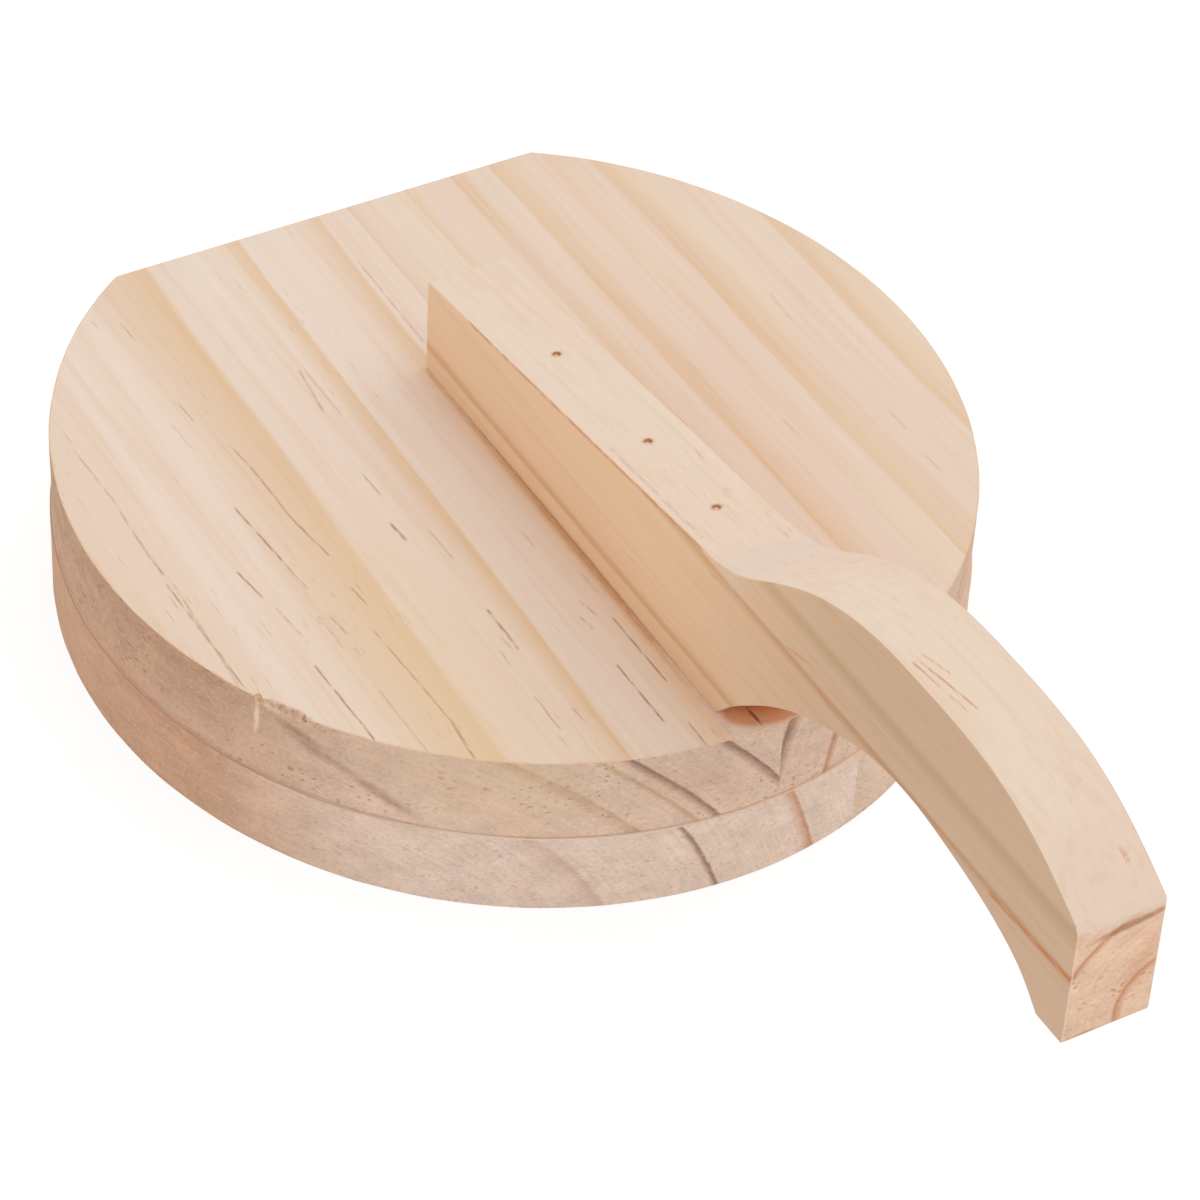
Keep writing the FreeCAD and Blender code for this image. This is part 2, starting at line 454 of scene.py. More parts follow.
@dataclass(frozen=True)
class Pine:
    """The wood of one stave or bar: its growth rings, colours and marks. Places are in mm."""

    name: str
    pith: tuple[float, float]
    face: float
    rings: tuple[Ring, ...]
    lean: float = 0.03
    wander: float = 3.0
    ragged: float = 0.9
    dashes: tuple[Dash, ...] = ()
    flank_dashes: tuple[Dash, ...] = ()
    marks: tuple[Mark, ...] = ()
    rings_upward: bool = True
    cream: Colour = tone(233, 214, 198)
    pink: Colour = tone(231, 209, 191)
    # flank and far_flank: the handle flank's own more orange tone with painted warm bounce light, darker
    # towards the rear
    flank: Colour = tone(235, 199, 164)
    far_flank: Colour = tone(210, 176, 145)
    side: Colour = tone(202, 163, 135)
    end: Colour = tone(226, 199, 178)
    fibre: Colour = tone(242, 216, 178)
    # rim: the painted highlight of the eased rims; seam: the painted shade where two boards meet
    rim: Colour = tone(230, 186, 136)
    seam: Colour = tone(186, 140, 112)
    seam_height: float = BASE_TOP
    dark: Colour = tone(166, 112, 72)
    pit: Colour = tone(148, 104, 80)
    stripe: Colour = (0.975, 0.925, 0.87)
    hues: tuple[Colour, Colour] = ((1.01, 0.98, 0.945), (0.99, 0.97, 0.965))
    shaded: float = 0.0
    shaded_from: float = 22.0
    flank_fade: tuple[float, float] = (-150.0, -60.0)
    shut_fade: tuple[float, float] = (-92.0, -55.0)
    open_fade: tuple[float, float] = (-20.0, -6.0)
    seam_fade: tuple[float, float] = (1.0, 0.4)
    side_fade: tuple[float, float] = (0.27, 0.8)
    cut_fade: tuple[float, float] = (0.35, 0.85)
    ring_gap: float = 0.05
    flecks: float = 0.25
    pits: float = 0.6
    shine: float = 0.3
    seed: float = 1.0
    texture: Texture = Texture()

    def reach(self, ring: Ring) -> float:
        """A ring's distance from the pith."""
        return math.hypot(ring.place - self.pith[0], self.face - self.pith[1])

    def stops(self, cut: bool) -> list[tuple[float, Colour]]:
        """The rings as a ramp: plain wood, the band's darkest line, plain wood again."""
        stops: list[tuple[float, Colour]] = []
        for ring in sorted(self.rings, key=self.reach):
            reach = self.reach(ring)
            narrow = cut and ring.cut is not None
            start = reach - (ring.cut_width if narrow else ring.width)
            if stops and start < stops[-1][0]:
                start = stops[-1][0] + self.ring_gap
            shown = ring.cut if narrow else ring.latewood
            stops += [(start, PLAIN), (reach, shown.value), (reach + ring.edge, PLAIN)]
        return stops

    def from_pith(self, nodes: Nodes, spot: Wire) -> Wire:
        """The distance from the pith, uneven as grown wood is."""
        x, y, z = nodes.split(spot)
        slow = SLOW_BENDS.value(nodes, spot, self.seed) - 0.5
        quick = QUICK_BENDS.value(nodes, spot, self.seed) - 0.5
        across = x - y * self.lean + slow * self.wander + quick * self.ragged - self.pith[0]
        above = z - self.pith[1]
        return nodes.math("SQRT", across * across + above * above)

    def latewood(self, nodes: Nodes, reach: Wire, cut: bool = False) -> Wire:
        """The colour by which the growth rings multiply the plain wood, along the grain or cut across."""
        stops = self.stops(cut)
        first, last = stops[0][0], stops[-1][0]
        ramp = [((place - first) / (last - first), colour) for place, colour in stops]
        return nodes.add("ShaderNodeValToRGB", {0: (reach - first) / (last - first)}, {"stops": ramp})

    def planed(self, nodes: Nodes, spot: Wire, latewood: Wire, fibre: Wire) -> Wire:
        """The colour of the planed faces."""
        x, y, z = nodes.split(spot)
        look = self.texture
        flank = nodes.noted("flank")
        ground = nodes.mix(self.cream, self.pink, PINK.patches(nodes, spot, self.seed))
        # The handle's flank gets its own more orange tone with painted warm bounce light
        if self.flank_dashes:
            flank_ground = nodes.mix(self.far_flank, self.flank, nodes.smooth(y, *self.flank_fade))
            ground = nodes.mix(ground, flank_ground, flank)
        ground = nodes.mix(ground, self.stripe, STRIPES.patches(nodes, spot, self.seed), "MULTIPLY")
        colour = nodes.mix(ground, latewood, 1.0 if self.rings_upward else flank, "MULTIPLY")
        colour = nodes.scaled(colour, fibre * look.fibre_shade + (1.0 - look.fibre_shade / 2))
        crowd = FLECK_CROWDS.patches(nodes, spot, self.seed)
        darker = FLECKS.patches(nodes, spot, self.seed) * crowd * self.flecks
        breaks = DASH_BREAKS.patches(nodes, spot, self.seed) * look.dash_breaks + look.dash_least
        for table, across, where in ((self.dashes, x, 1.0 - flank), (self.flank_dashes, z, flank)):
            if table:
                lanes = Lanes(table).mask(nodes, across, y)
                darker = nodes.math("MAXIMUM", darker, lanes * where * breaks)
        return nodes.mix(colour, self.dark, darker)

    def wall(self, nodes: Nodes, spot: Wire, reach: Wire, rings: Wire, speck: Wire) -> Wire:
        """The colour of the sawn walls and of end grain."""
        _, y, z = nodes.split(spot)
        look = self.texture
        ground = nodes.mix(self.side, self.end, nodes.smooth(nodes.noted("end_grain"), *self.side_fade))
        colour = nodes.mix(ground, rings, 1.0, "MULTIPLY")
        cloud = CLOUDS.value(nodes, spot, self.seed)
        along_rings = nodes.join(reach, y * look.streak_stretch, z * look.streak_stretch)
        streak = STREAKS.value(nodes, along_rings, self.seed)
        shade = speck * look.speck_shade + cloud * look.cloud_shade + streak * look.streak_shade
        shade = shade + look.wall_least
        colour = nodes.scaled(colour, shade - nodes.smooth(z, self.shaded_from, LID_TOP) * self.shaded)
        hue = nodes.mix(*self.hues, HUES.patches(nodes, spot, self.seed))
        colour = nodes.mix(colour, hue, 1.0, "MULTIPLY")
        colour = nodes.mix(colour, self.fibre, TORN_FIBRES.patches(nodes, spot, self.seed) * look.torn)
        colour = nodes.mix(colour, self.pit, HOLLOWS.patches(nodes, spot, self.seed) * look.hollow)
        crowd = PIT_CROWDS.patches(nodes, spot, self.seed)
        return nodes.mix(colour, self.pit, PITS.patches(nodes, spot, self.seed) * crowd * self.pits)

    def seams(self, nodes: Nodes, spot: Wire, colour: Wire, rim: Wire) -> Wire:
        """The eased rims: a painted highlight, mottled where rubbed, where they face up or down; where two
        boards meet, painted shade on the left and a painted highlight from the front towards the right.
        """
        x, _, z = nodes.split(spot)
        look = self.texture
        wear_and_sheen = WEAR_AND_SHEEN.patches(nodes, spot, self.seed)
        # worn: the rims' painted highlight, mottled where rubbed
        worn = nodes.mix(colour, self.rim, rim * (wear_and_sheen * look.rim_wear_and_sheen + look.rim_least))
        near = nodes.smooth(nodes.math("ABSOLUTE", z - self.seam_height), *self.seam_fade)
        # shut and light: painted shade where the boards meet on the left, and a painted highlight on the
        # lower board's ledge towards the right
        shut = nodes.mix(self.seam, self.end, nodes.smooth(x, *self.shut_fade))
        light = nodes.smooth(x, *self.open_fade) * (wear_and_sheen * look.open_wear_and_sheen + look.open_least)
        return nodes.mix(worn, nodes.mix(shut, self.rim, light), near * rim * look.seam)

    def material(self) -> bpy.types.Material:
        """Builds the wood.

        Returns:
            The material.
        """
        material, nodes = new_material(self.name)
        look = self.texture
        spot = nodes.spot_mm()
        reach = self.from_pith(nodes, spot)
        latewood = self.latewood(nodes, reach)
        fibre = FIBRES.value(nodes, spot, self.seed)
        speck = SPECKS.value(nodes, spot, self.seed)
        planed = self.planed(nodes, spot, latewood, fibre)
        cut = self.latewood(nodes, reach, cut=True)
        rings = nodes.mix(latewood, cut, nodes.smooth(nodes.noted("end_grain"), *self.cut_fade))
        wall = self.wall(nodes, spot, reach, rings, speck)
        sawn = nodes.noted("sawn")
        colour = self.seams(nodes, spot, nodes.mix(planed, wall, sawn), nodes.noted("rim"))
        fray = FRAYING.value(nodes, spot, self.seed) - 0.5
        for mark in self.marks:
            colour = nodes.mix(colour, mark.tint, mark.mask(nodes, spot, fray))
        height = fibre * look.fibre_height + sawn * speck * look.speck_height
        roughness = fibre * look.fibre_roughness + sawn * look.sawn_roughness + look.roughness
        finish(nodes, {"Base Color": colour, "Roughness": roughness, "Specular IOR Level": self.shine,
                       "Normal": nodes.bump(height, look.relief, look.relief_strength)})
        return material


@dataclass(frozen=True)
class Steel:
    """A plated or bare steel: its clean and dull colours and how it is brushed."""

    name: str
    clean: Colour
    dull: Colour
    roughness: float
    brushed: Grain = Grain((9.0, 0.25, 0.25), 3.0)
    brushed_roughness: float = 0.18
    brushed_height: float = 0.6
    tarnish: float = 0.4
    pits: float = 0.3
    pit_depth: float = 0.5
    worn_roughness: float = 0.25
    relief: float = 0.03 * MM
    relief_strength: float = 0.6
    metallic: float = 1.0

    def material(self) -> bpy.types.Material:
        """Builds the steel.

        Returns:
            The material.
        """
        material, nodes = new_material(self.name)
        spot = nodes.spot_mm()
        brush = self.brushed.value(nodes, spot)
        pit = STEEL_PITS.patches(nodes, spot)
        worn = TARNISH.patches(nodes, spot) * self.tarnish + pit * self.pits
        colour = nodes.mix(self.clean, self.dull, worn)
        roughness = (brush * self.brushed_roughness + worn * self.worn_roughness
                     + (self.roughness - self.brushed_roughness / 2))
        height = brush * self.brushed_height - pit * self.pit_depth
        finish(nodes, {"Base Color": colour, "Metallic": self.metallic, "Roughness": roughness,
                       "Normal": nodes.bump(height, self.relief, self.relief_strength)})
        return material


def emptied(owner: bpy.types.Material | bpy.types.World) -> Nodes:
    """The nodes of a new material or world, with none of its first ones left."""
    owner.use_nodes = True
    owner.node_tree.nodes.clear()
    return Nodes(owner.node_tree)


def new_material(name: str) -> tuple[bpy.types.Material, Nodes]:
    """An empty node material and its nodes."""
    material = bpy.data.materials.new(name)
    return material, emptied(material)


def finish(nodes: Nodes, values: Mapping[str, Any]) -> None:
    """Ends a material in one Principled shader."""
    surface(nodes, nodes.add("ShaderNodeBsdfPrincipled", values))


def surface(nodes: Nodes, shader: Wire, owner: str = "Material") -> None:
    """Links a shader to the output of a material or world."""
    output = nodes.tree.nodes.new("ShaderNodeOutput" + owner)
    nodes.tree.links.new(shader.socket, output.inputs["Surface"])


# Mesh helpers


def in_scene(name: str, data: bpy.types.ID) -> bpy.types.Object:
    """A new object in the scene, for a mesh, lamp or camera."""
    piece = bpy.data.objects.new(name, data)
    bpy.context.scene.collection.objects.link(piece)
    return piece


def new_object(name: str, shape: bmesh.types.BMesh | None = None) -> bpy.types.Object:
    """Makes an object at the origin, with its place in its mesh.

    Args:
        name: The piece's name.
        shape: Its mesh, which is used up, or none for an empty mesh.

    Returns:
        The object, in the scene.
    """
    mesh = bpy.data.meshes.new(name)
    if shape is not None:
        bmesh.ops.recalc_face_normals(shape, faces=shape.faces)
        shape.to_mesh(mesh)
        shape.free()
    return in_scene(name, mesh)


def settle(piece: bpy.types.Object) -> None:
    """Makes the modified shape the object's own plain mesh, and takes the modifiers away."""
    bpy.context.view_layer.update()
    graph = bpy.context.evaluated_depsgraph_get()
    mesh = bpy.data.meshes.new_from_object(piece.evaluated_get(graph))
    piece.modifiers.clear()
    old = piece.data
    piece.data = mesh
    bpy.data.meshes.remove(old)


def grow(piece: bpy.types.Object, tree: bpy.types.NodeTree, values: Mapping[str, Any]) -> None:
    """Runs a geometry tree on an object and keeps the result as its plain mesh.

    Args:
        piece: The object.
        tree: The geometry tree.
        values: The tree's inputs by name.
    """
    modifier = piece.modifiers.new(tree.name, "NODES")
    modifier.node_group = tree
    for item in tree.interface.items_tree:
        if item.in_out == "INPUT" and item.name in values:
            modifier[item.identifier] = values[item.name]
    settle(piece)


def ease(piece: bpy.types.Object, width: float, segments: int = 3, by_weight: bool = False,
         angle: float = 30.0) -> None:
    """Rounds an object's edges.

    Args:
        piece: The object.
        width: How far the rounding reaches.
        segments: How many strips it has.
        by_weight: Whether the edges' own weights say which are rounded, and not their angle.
        angle: The least angle in degrees of an edge that is rounded.
    """
    bevel = piece.modifiers.new("ease", "BEVEL")
    bevel.width = width
    bevel.segments = segments
    bevel.limit_method = "WEIGHT" if by_weight else "ANGLE"
    bevel.angle_limit = math.radians(angle)
    bevel.use_clamp_overlap = False
    settle(piece)


def carve(piece: bpy.types.Object, cutters: Sequence[bpy.types.Object]) -> None:
    """Cuts other objects out of one, and deletes them."""
    for cutter in cutters:
        cut = piece.modifiers.new("cut", "BOOLEAN")
        cut.object = cutter
        cut.solver = "EXACT"
    settle(piece)
    for cutter in cutters:
        bpy.data.objects.remove(cutter)


def shade(piece: bpy.types.Object, angle: float) -> None:
    """Shades an object smoothly, with edges sharp from an angle in degrees."""
    piece.data.shade_smooth()
    piece.data.set_sharp_from_angle(angle=math.radians(angle))


def skin(shape: bmesh.types.BMesh,
         loops: Sequence[Sequence[bmesh.types.BMVert]]) -> list[bmesh.types.BMFace]:
    """Joins closed loops with faces, closes the first and the last one, and returns these two faces."""
    for low, high in zip(loops, loops[1:]):
        for step in range(len(low)):
            after = (step + 1) % len(low)
            shape.faces.new((low[step], low[after], high[after], high[step]))
    return [shape.faces.new(loops[0]), shape.faces.new(loops[-1])]


def lathe(rows: Sequence[tuple[float, float]], count: int, turn: Matrix,
          bulge: Callable[[float, float], float] | None = None) -> bmesh.types.BMesh:
    """A closed turned shape about its own Z axis, which is then turned and moved into place.

    Args:
        rows: Radius and height of each row, from one end to the other.
        count: How many vertices go round.
        turn: Where the shape goes.
        bulge: What a row's radius gains at an angle in turns and a height, as a thread's ridge.

    Returns:
        The shape.
    """
    shape = bmesh.new()
    loops = []
    for radius, height in rows:
        loop = []
        for step in range(count):
            share = step / count
            reach = radius + (bulge(share, height) if bulge else 0.0)
            angle = 2 * math.pi * share
            spot = Vector((reach * math.cos(angle), reach * math.sin(angle), height))
            loop.append(shape.verts.new(turn @ spot))
        loops.append(loop)
    skin(shape, loops)
    return shape


def note_grain(piece: bpy.types.Object, judge: Callable[[np.ndarray], dict[str, np.ndarray]]) -> None:
    """Notes on each face how far it is end grain, sawn, an eased rim or the handle's flank.

    Args:
        piece: The object.
        judge: Takes the faces' normals and gives the shares that differ from none, by name.
    """
    mesh = piece.data
    normals = np.empty(len(mesh.polygons) * 3, dtype=np.float32)
    mesh.polygons.foreach_get("normal", normals)
    normals = normals.reshape(-1, 3)
    shares = {name: np.zeros(len(normals)) for name in ("sawn", "rim", "flank")} | judge(normals)
    shares["end_grain"] = np.abs(normals[:, 1])
    for name, values in shares.items():
        note = mesh.attributes.new(name, "FLOAT", "FACE")
        note.data.foreach_set("value", values.astype(np.float32))


def hand_over(piece: bpy.types.Object, material: bpy.types.Material, body: str,
              nodes: Sequence[str]) -> None:
    """Gives a finished piece its material and body, and hides the CAD nodes that it stands for."""
    piece.data.materials.clear()
    piece.data.materials.append(material)
    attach(piece, body)
    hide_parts(*nodes)
    log.info("%s: %d faces, rides on %s", piece.name, len(piece.data.polygons), body)


# Boards


def blank_tree() -> bpy.types.NodeTree:
    """The rule of a board: an oval block, flat at the hinge edge, with a slightly uneven sawn wall.

    Returns:
        The geometry tree.
    """
    nodes = Nodes(bpy.data.node_groups.new("oval_blank", "GeometryNodeTree"))
    nodes.take("Float", "Half Width", "Front Reach", "Hinge Edge", "Bottom", "Thickness", "Unevenness",
               "Wave", "Seed")
    nodes.take("Int", "Around", "Rows")
    nodes.take("Material", "Material")
    disc = nodes.add("GeometryNodeMeshCylinder",
                     {"Vertices": nodes.given("Around"), "Side Segments": nodes.given("Rows"),
                      "Radius": 1.0, "Depth": 1.0}, {"fill_type": "NGON"})
    place = nodes.add("GeometryNodeInputPosition")
    x, y, z = nodes.split(place)
    oval_x = x * nodes.given("Half Width")
    oval_y = y * nodes.given("Front Reach")
    height = (z + 0.5) * nodes.given("Thickness") + nodes.given("Bottom")
    oval = nodes.join(oval_x, oval_y, height)
    wave = nodes.given("Wave")
    spread = nodes.scaled(oval, 1.0 / wave)
    moved = nodes.vector("ADD", spread, nodes.join(nodes.given("Seed"), 0.0, 0.0))
    slow = nodes.add("ShaderNodeTexNoise", {"Vector": moved, "Scale": 1.0, "Detail": 2.0}) - 0.5
    grow_out = slow * nodes.given("Unevenness")
    outward = nodes.vector("NORMALIZE", nodes.join(x, y, 0.0))
    rough = nodes.vector("ADD", oval, nodes.scaled(outward, grow_out))
    rough_x, rough_y, rough_z = nodes.split(rough)
    flat_y = nodes.math("MINIMUM", rough_y, nodes.given("Hinge Edge"))
    place = nodes.join(rough_x, flat_y, rough_z)
    return nodes.give(nodes.add("GeometryNodeSetPosition", {"Geometry": disc, "Position": place}))


@dataclass
class TornRim:
    """A spot where the saw tore a board's upper rim, as lumps to cut out along it. Places are in mm."""

    start: Spot = (-87.9, -51.6, LID_TOP)
    end: Spot = (-82.4, -60.4, LID_TOP)
    lumps: int = 7
    radius: float = 1.45
    lumpiness: float = 0.9
    lump_scale: float = 1.3
    lump_shift: float = 3.7

    def cutters(self) -> list[bpy.types.Object]:
        """The lumps, as objects to cut with."""
        lumps = []
        for step in range(self.lumps):
            middle = Vector(self.start).lerp(Vector(self.end), step / (self.lumps - 1))
            shape = bmesh.new()
            bmesh.ops.create_icosphere(shape, subdivisions=3, radius=1.0)
            for vertex in shape.verts:
                shift = Vector((step * self.lump_shift, 0.0, 0.0))
                lump = noise.noise(vertex.co * self.lump_scale + shift)
                vertex.co = (middle + vertex.co * self.radius * (1 + self.lumpiness * lump)) * MM
            lumps.append(new_object("lump", shape))
        return lumps


@dataclass
class OvalBoard:
    """An oval board glued from two staves."""

    level: str
    body: str
    glue_line: float
    left_wood: Pine
    right_wood: Pine
    seed: float
    torn: TornRim | None = None
    rim_width: float = 0.36 * MM
    unevenness: float = 0.35 * MM
    wave: float = 14 * MM
    cut_tolerance: float = 0.001 * MM
    wall_slant: float = 0.3
    rim_slant: float = 0.97
    sharp_angle: float = 15.0
    around: int = 720
    rows: int = 9

    def nodes(self) -> list[str]:
        """Names of the board's two CAD nodes."""
        return [f"{self.level}_board_{side}_stave" for side in SIDES]

    def blank(self, tree: bpy.types.NodeTree) -> bpy.types.Object:
        """The whole board, as large as its CAD nodes."""
        boxes = [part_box(node) for node in self.nodes()]
        low = Vector(min(box[0][axis] for box in boxes) for axis in range(3))
        high = Vector(max(box[1][axis] for box in boxes) for axis in range(3))
        piece = new_object(self.level + "_blank")
        grow(piece, tree, {
            "Half Width": (high.x - low.x) / 2, "Front Reach": -low.y, "Hinge Edge": high.y,
            "Bottom": low.z, "Thickness": high.z - low.z, "Unevenness": self.unevenness,
            "Wave": self.wave, "Seed": self.seed, "Around": self.around, "Rows": self.rows})
        ease(piece, self.rim_width)
        return piece

    def stave(self, blank: bpy.types.Object, side: str) -> bpy.types.Object:
        """One stave, cut from the blank at the glue line."""
        shape = bmesh.new()
        shape.from_mesh(blank.data)
        away = 1 if side == "left" else -1
        everything = shape.verts[:] + shape.edges[:] + shape.faces[:]
        bmesh.ops.bisect_plane(shape, geom=everything, plane_co=(self.glue_line, 0, 0),
                               plane_no=(away, 0, 0), clear_outer=True, dist=self.cut_tolerance)
        open_edges = [edge for edge in shape.edges if edge.is_boundary]
        bmesh.ops.holes_fill(shape, edges=open_edges)
        return new_object(f"{self.level}_{side}_stave", shape)

    def judge(self, normals: np.ndarray) -> dict[str, np.ndarray]:
        """Walls are sawn, and what slants between a wall and a face is a rim."""
        level = np.abs(normals[:, 2])
        return {"sawn": level < self.wall_slant,
                "rim": (level >= self.wall_slant) & (level < self.rim_slant)}

    def build(self, tree: bpy.types.NodeTree, cutters: Callable[[], list[bpy.types.Object]]) -> None:
        """Makes both staves.

        Args:
            tree: The geometry tree of a board's blank.
            cutters: Makes the screws' and nails' holes.
        """
        blank = self.blank(tree)
        for side, wood, node in zip(SIDES, (self.left_wood, self.right_wood), self.nodes()):
            piece = self.stave(blank, side)
            torn = self.torn.cutters() if self.torn and side == "left" else []
            carve(piece, cutters() + torn)
            shade(piece, self.sharp_angle)
            note_grain(piece, self.judge)
            hand_over(piece, wood.material(), self.body, [node])
        bpy.data.objects.remove(blank)


# Handle


def smooth_line(points: Sequence[tuple[float, float]], pieces: int) -> list[tuple[float, float]]:
    """A smooth line through points, with no bend at its ends.

    Args:
        points: Points to go through.
        pieces: How many steps each span between two points is divided into.

    Returns:
        The line's points, from the first to the last.
    """
    spots = np.array(points)
    runs = np.hypot(*np.diff(spots, axis=0).T)
    count = len(spots)
    system = np.eye(count)
    right = np.zeros((count, 2))
    for row in range(1, count - 1):
        before, after = runs[row - 1], runs[row]
        system[row, row - 1:row + 2] = before, 2 * (before + after), after
        right[row] = 6 * ((spots[row + 1] - spots[row]) / after - (spots[row] - spots[row - 1]) / before)
    bends = np.linalg.solve(system, right)
    line = [tuple(spots[0])]
    for span, run in enumerate(runs):
        for step in range(1, pieces + 1):
            far = step / pieces
            near = 1 - far
            spot = near * spots[span] + far * spots[span + 1]
            bend = (near ** 3 - near) * bends[span] + (far ** 3 - far) * bends[span + 1]
            line.append(tuple(spot + run ** 2 / 6 * bend))
    return line


@dataclass
class GooseneckHandle:
    """The handle: a bar sawn to a gooseneck side outline. Lengths run forwards from its rear end, in mm."""

    wood: Pine
    length: float = 249.5
    foot_length: float = 126.0
    foot_rear_height: float = 24.0
    neck_start: float = 121.0
    neck_height: float = 37.6
    hump_height: float = 63.2
    arch_height: float = 34.6
    tip_top_height: float = 47.7
    tip_bottom_height: float = 18.4
    tip_flat_length: float = 8.5
    crown_shares: tuple[tuple[float, float], ...] = (
        (0.07, 0.12), (0.155, 0.38), (0.27, 0.71), (0.373, 0.9), (0.487, 0.985), (0.602, 1.0),
        (0.777, 0.93), (0.905, 0.69))
    arch_shares: tuple[tuple[float, float], ...] = (
        (0.04, 0.15), (0.09, 0.3), (0.17, 0.51), (0.277, 0.72), (0.416, 0.91), (0.547, 1.0),
        (0.716, 0.95), (0.879, 0.81), (0.944, 0.7))
    columns: int = 7
    span_pieces: int = 7
    foot_pieces: int = 24
    rim_width: float = 1.6 * MM
    plain_rim: float = 0.28
    unevenness: float = 0.14 * MM
    wave: float = 11 * MM
    glued_height: float = 0.1 * MM
    end_slant: float = 0.985
    end_edge_slant: float = 0.6
    end_edge_aside: float = 0.3
    flank_slant: float = 0.5
    sharp_angle: float = 15.0

    def bow(self, start: tuple[float, float], end: tuple[float, float], height: float,
            shares: Sequence[tuple[float, float]]) -> list[tuple[float, float]]:
        """A smooth line from one point up to a height and on to another point.

        Args:
            start: The first point.
            end: The last point.
            height: The greatest height.
            shares: Points between, as shares of the whole run and of the rise to the height.

        Returns:
            The line's points.
        """
        run, rise = end[0] - start[0], height - start[1]
        between = [(start[0] + a * run, start[1] + b * rise) for a, b in shares]
        return smooth_line([start, *between, end], self.span_pieces)

    def outline(self, low: Vector, high: Vector) -> tuple[list[Vector], set[int]]:
        """The side outline in the frame, with its corners.

        Args:
            low: The least corner of the handle's box.
            high: The greatest corner of the handle's box.

        Returns:
            Points as (y, z), and the places of the outline's corners among them.
        """
        arch_end = self.length - self.tip_flat_length
        crown = self.bow((self.neck_start, self.neck_height), (self.length, self.tip_top_height),
                         self.hump_height, self.crown_shares)
        arch = self.bow((self.foot_length, 0.0), (arch_end, self.tip_bottom_height),
                        self.arch_height, self.arch_shares)
        climb = (self.neck_height - self.foot_rear_height) / self.neck_start
        foot = [(self.neck_start * step / self.foot_pieces,
                 self.foot_rear_height + climb * self.neck_start * step / self.foot_pieces)
                for step in range(self.foot_pieces)]
        upper = foot + crown
        points = [(0.0, 0.0)] + upper + [(self.length, self.tip_bottom_height)] + arch[::-1]
        corners = {0, 1, len(upper), len(upper) + 1, len(upper) + 2, len(points) - 1}
        return [Vector((high.y - along * MM, low.z + height * MM)) for along, height in points], corners

    def bar(self) -> bpy.types.Object:
        """The bar, with its edges eased and its blunt end's upper edge worn rounder."""
        low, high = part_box("handle")
        points, corners = self.outline(low, high)
        shape = bmesh.new()
        weight = shape.edges.layers.float.new("bevel_weight_edge")
        rows = []
        for column in range(self.columns + 1):
            x = low.x + (high.x - low.x) * column / self.columns
            rows.append([shape.verts.new((x, spot[0], spot[1])) for spot in points])
        sides = skin(shape, rows)
        for face in sides:
            for edge in face.edges:
                edge[weight] = self.plain_rim
        ahead = corners & set(range(2, len(points) - 1))
        worn = max(ahead, key=lambda place: (-points[place][0], points[place][1]))
        for place in corners:
            for left, right in zip(rows, rows[1:]):
                edge = shape.edges.get((left[place], right[place]))
                edge[weight] = 1.0 if place == worn else self.plain_rim
        shape.normal_update()
        self.wave_faces(rows, corners, low.z + self.glued_height)
        piece = new_object("gooseneck_handle", shape)
        ease(piece, self.rim_width, 4, by_weight=True)
        return piece

    def wave_faces(self, rows: Sequence[Sequence[bmesh.types.BMVert]], corners: set[int],
                   foot: float) -> None:
        """Leaves slight saw and sanding waves on the faces above the glued foot."""
        for row in rows:
            for place, vertex in enumerate(row):
                if place not in corners and vertex.co.z > foot:
                    ripple = noise.noise(Vector((vertex.co.x, vertex.co.y, 0.0)) / self.wave)
                    vertex.co.z += ripple * self.unevenness

    def judge(self, normals: np.ndarray) -> dict[str, np.ndarray]:
        """The blunt end and its upright edges are sawn end grain, and the sides are flanks."""
        aside, front = np.abs(normals[:, 0]), -normals[:, 1]
        edge = (front > self.end_edge_slant) & (aside > self.end_edge_aside)
        end = (front > self.end_slant) | edge
        return {"sawn": end, "flank": ~end & (aside > self.flank_slant)}

    def build(self, cutters: Callable[[], list[bpy.types.Object]]) -> None:
        """Makes the handle.

        Args:
            cutters: Makes the nails' holes.
        """
        piece = self.bar()
        carve(piece, cutters())
        shade(piece, self.sharp_angle)
        note_grain(piece, self.judge)
        hand_over(piece, self.wood.material(), "lid", ["handle"])


# Nails and screws


def fixings_tree() -> bpy.types.NodeTree:
    """The rule of a set of fixings: one fixing at each of up to four places, turned at random.

    Returns:
        The geometry tree.
    """
    nodes = Nodes(bpy.data.node_groups.new("fixings", "GeometryNodeTree"))
    nodes.take("Geometry", "Fixing")
    nodes.take("Vector", *PLACE_INPUTS, "Turn Axis")
    nodes.take("Int", "Count", "Seed")
    nodes.take("Material", "Material")
    index = nodes.add("GeometryNodeInputIndex")
    place = nodes.given(PLACE_INPUTS[0])
    for step, name in enumerate(PLACE_INPUTS[1:]):
        later = index > step + 0.5
        place = nodes.add("ShaderNodeMix", {0: later, 4: place, 5: nodes.given(name)},
                          {"data_type": "VECTOR"}, 1)
    points = nodes.add("GeometryNodePoints", {"Count": nodes.given("Count"), "Position": place})
    turn = nodes.add("FunctionNodeRandomValue", {2: 0.0, 3: 2 * math.pi, "Seed": nodes.given("Seed")},
                     {"data_type": "FLOAT"}, 1)
    angles = nodes.scaled(nodes.given("Turn Axis"), turn)
    values = {"Points": points, "Instance": nodes.given("Fixing"), "Rotation": angles}
    return nodes.give(nodes.add("GeometryNodeInstanceOnPoints", values))


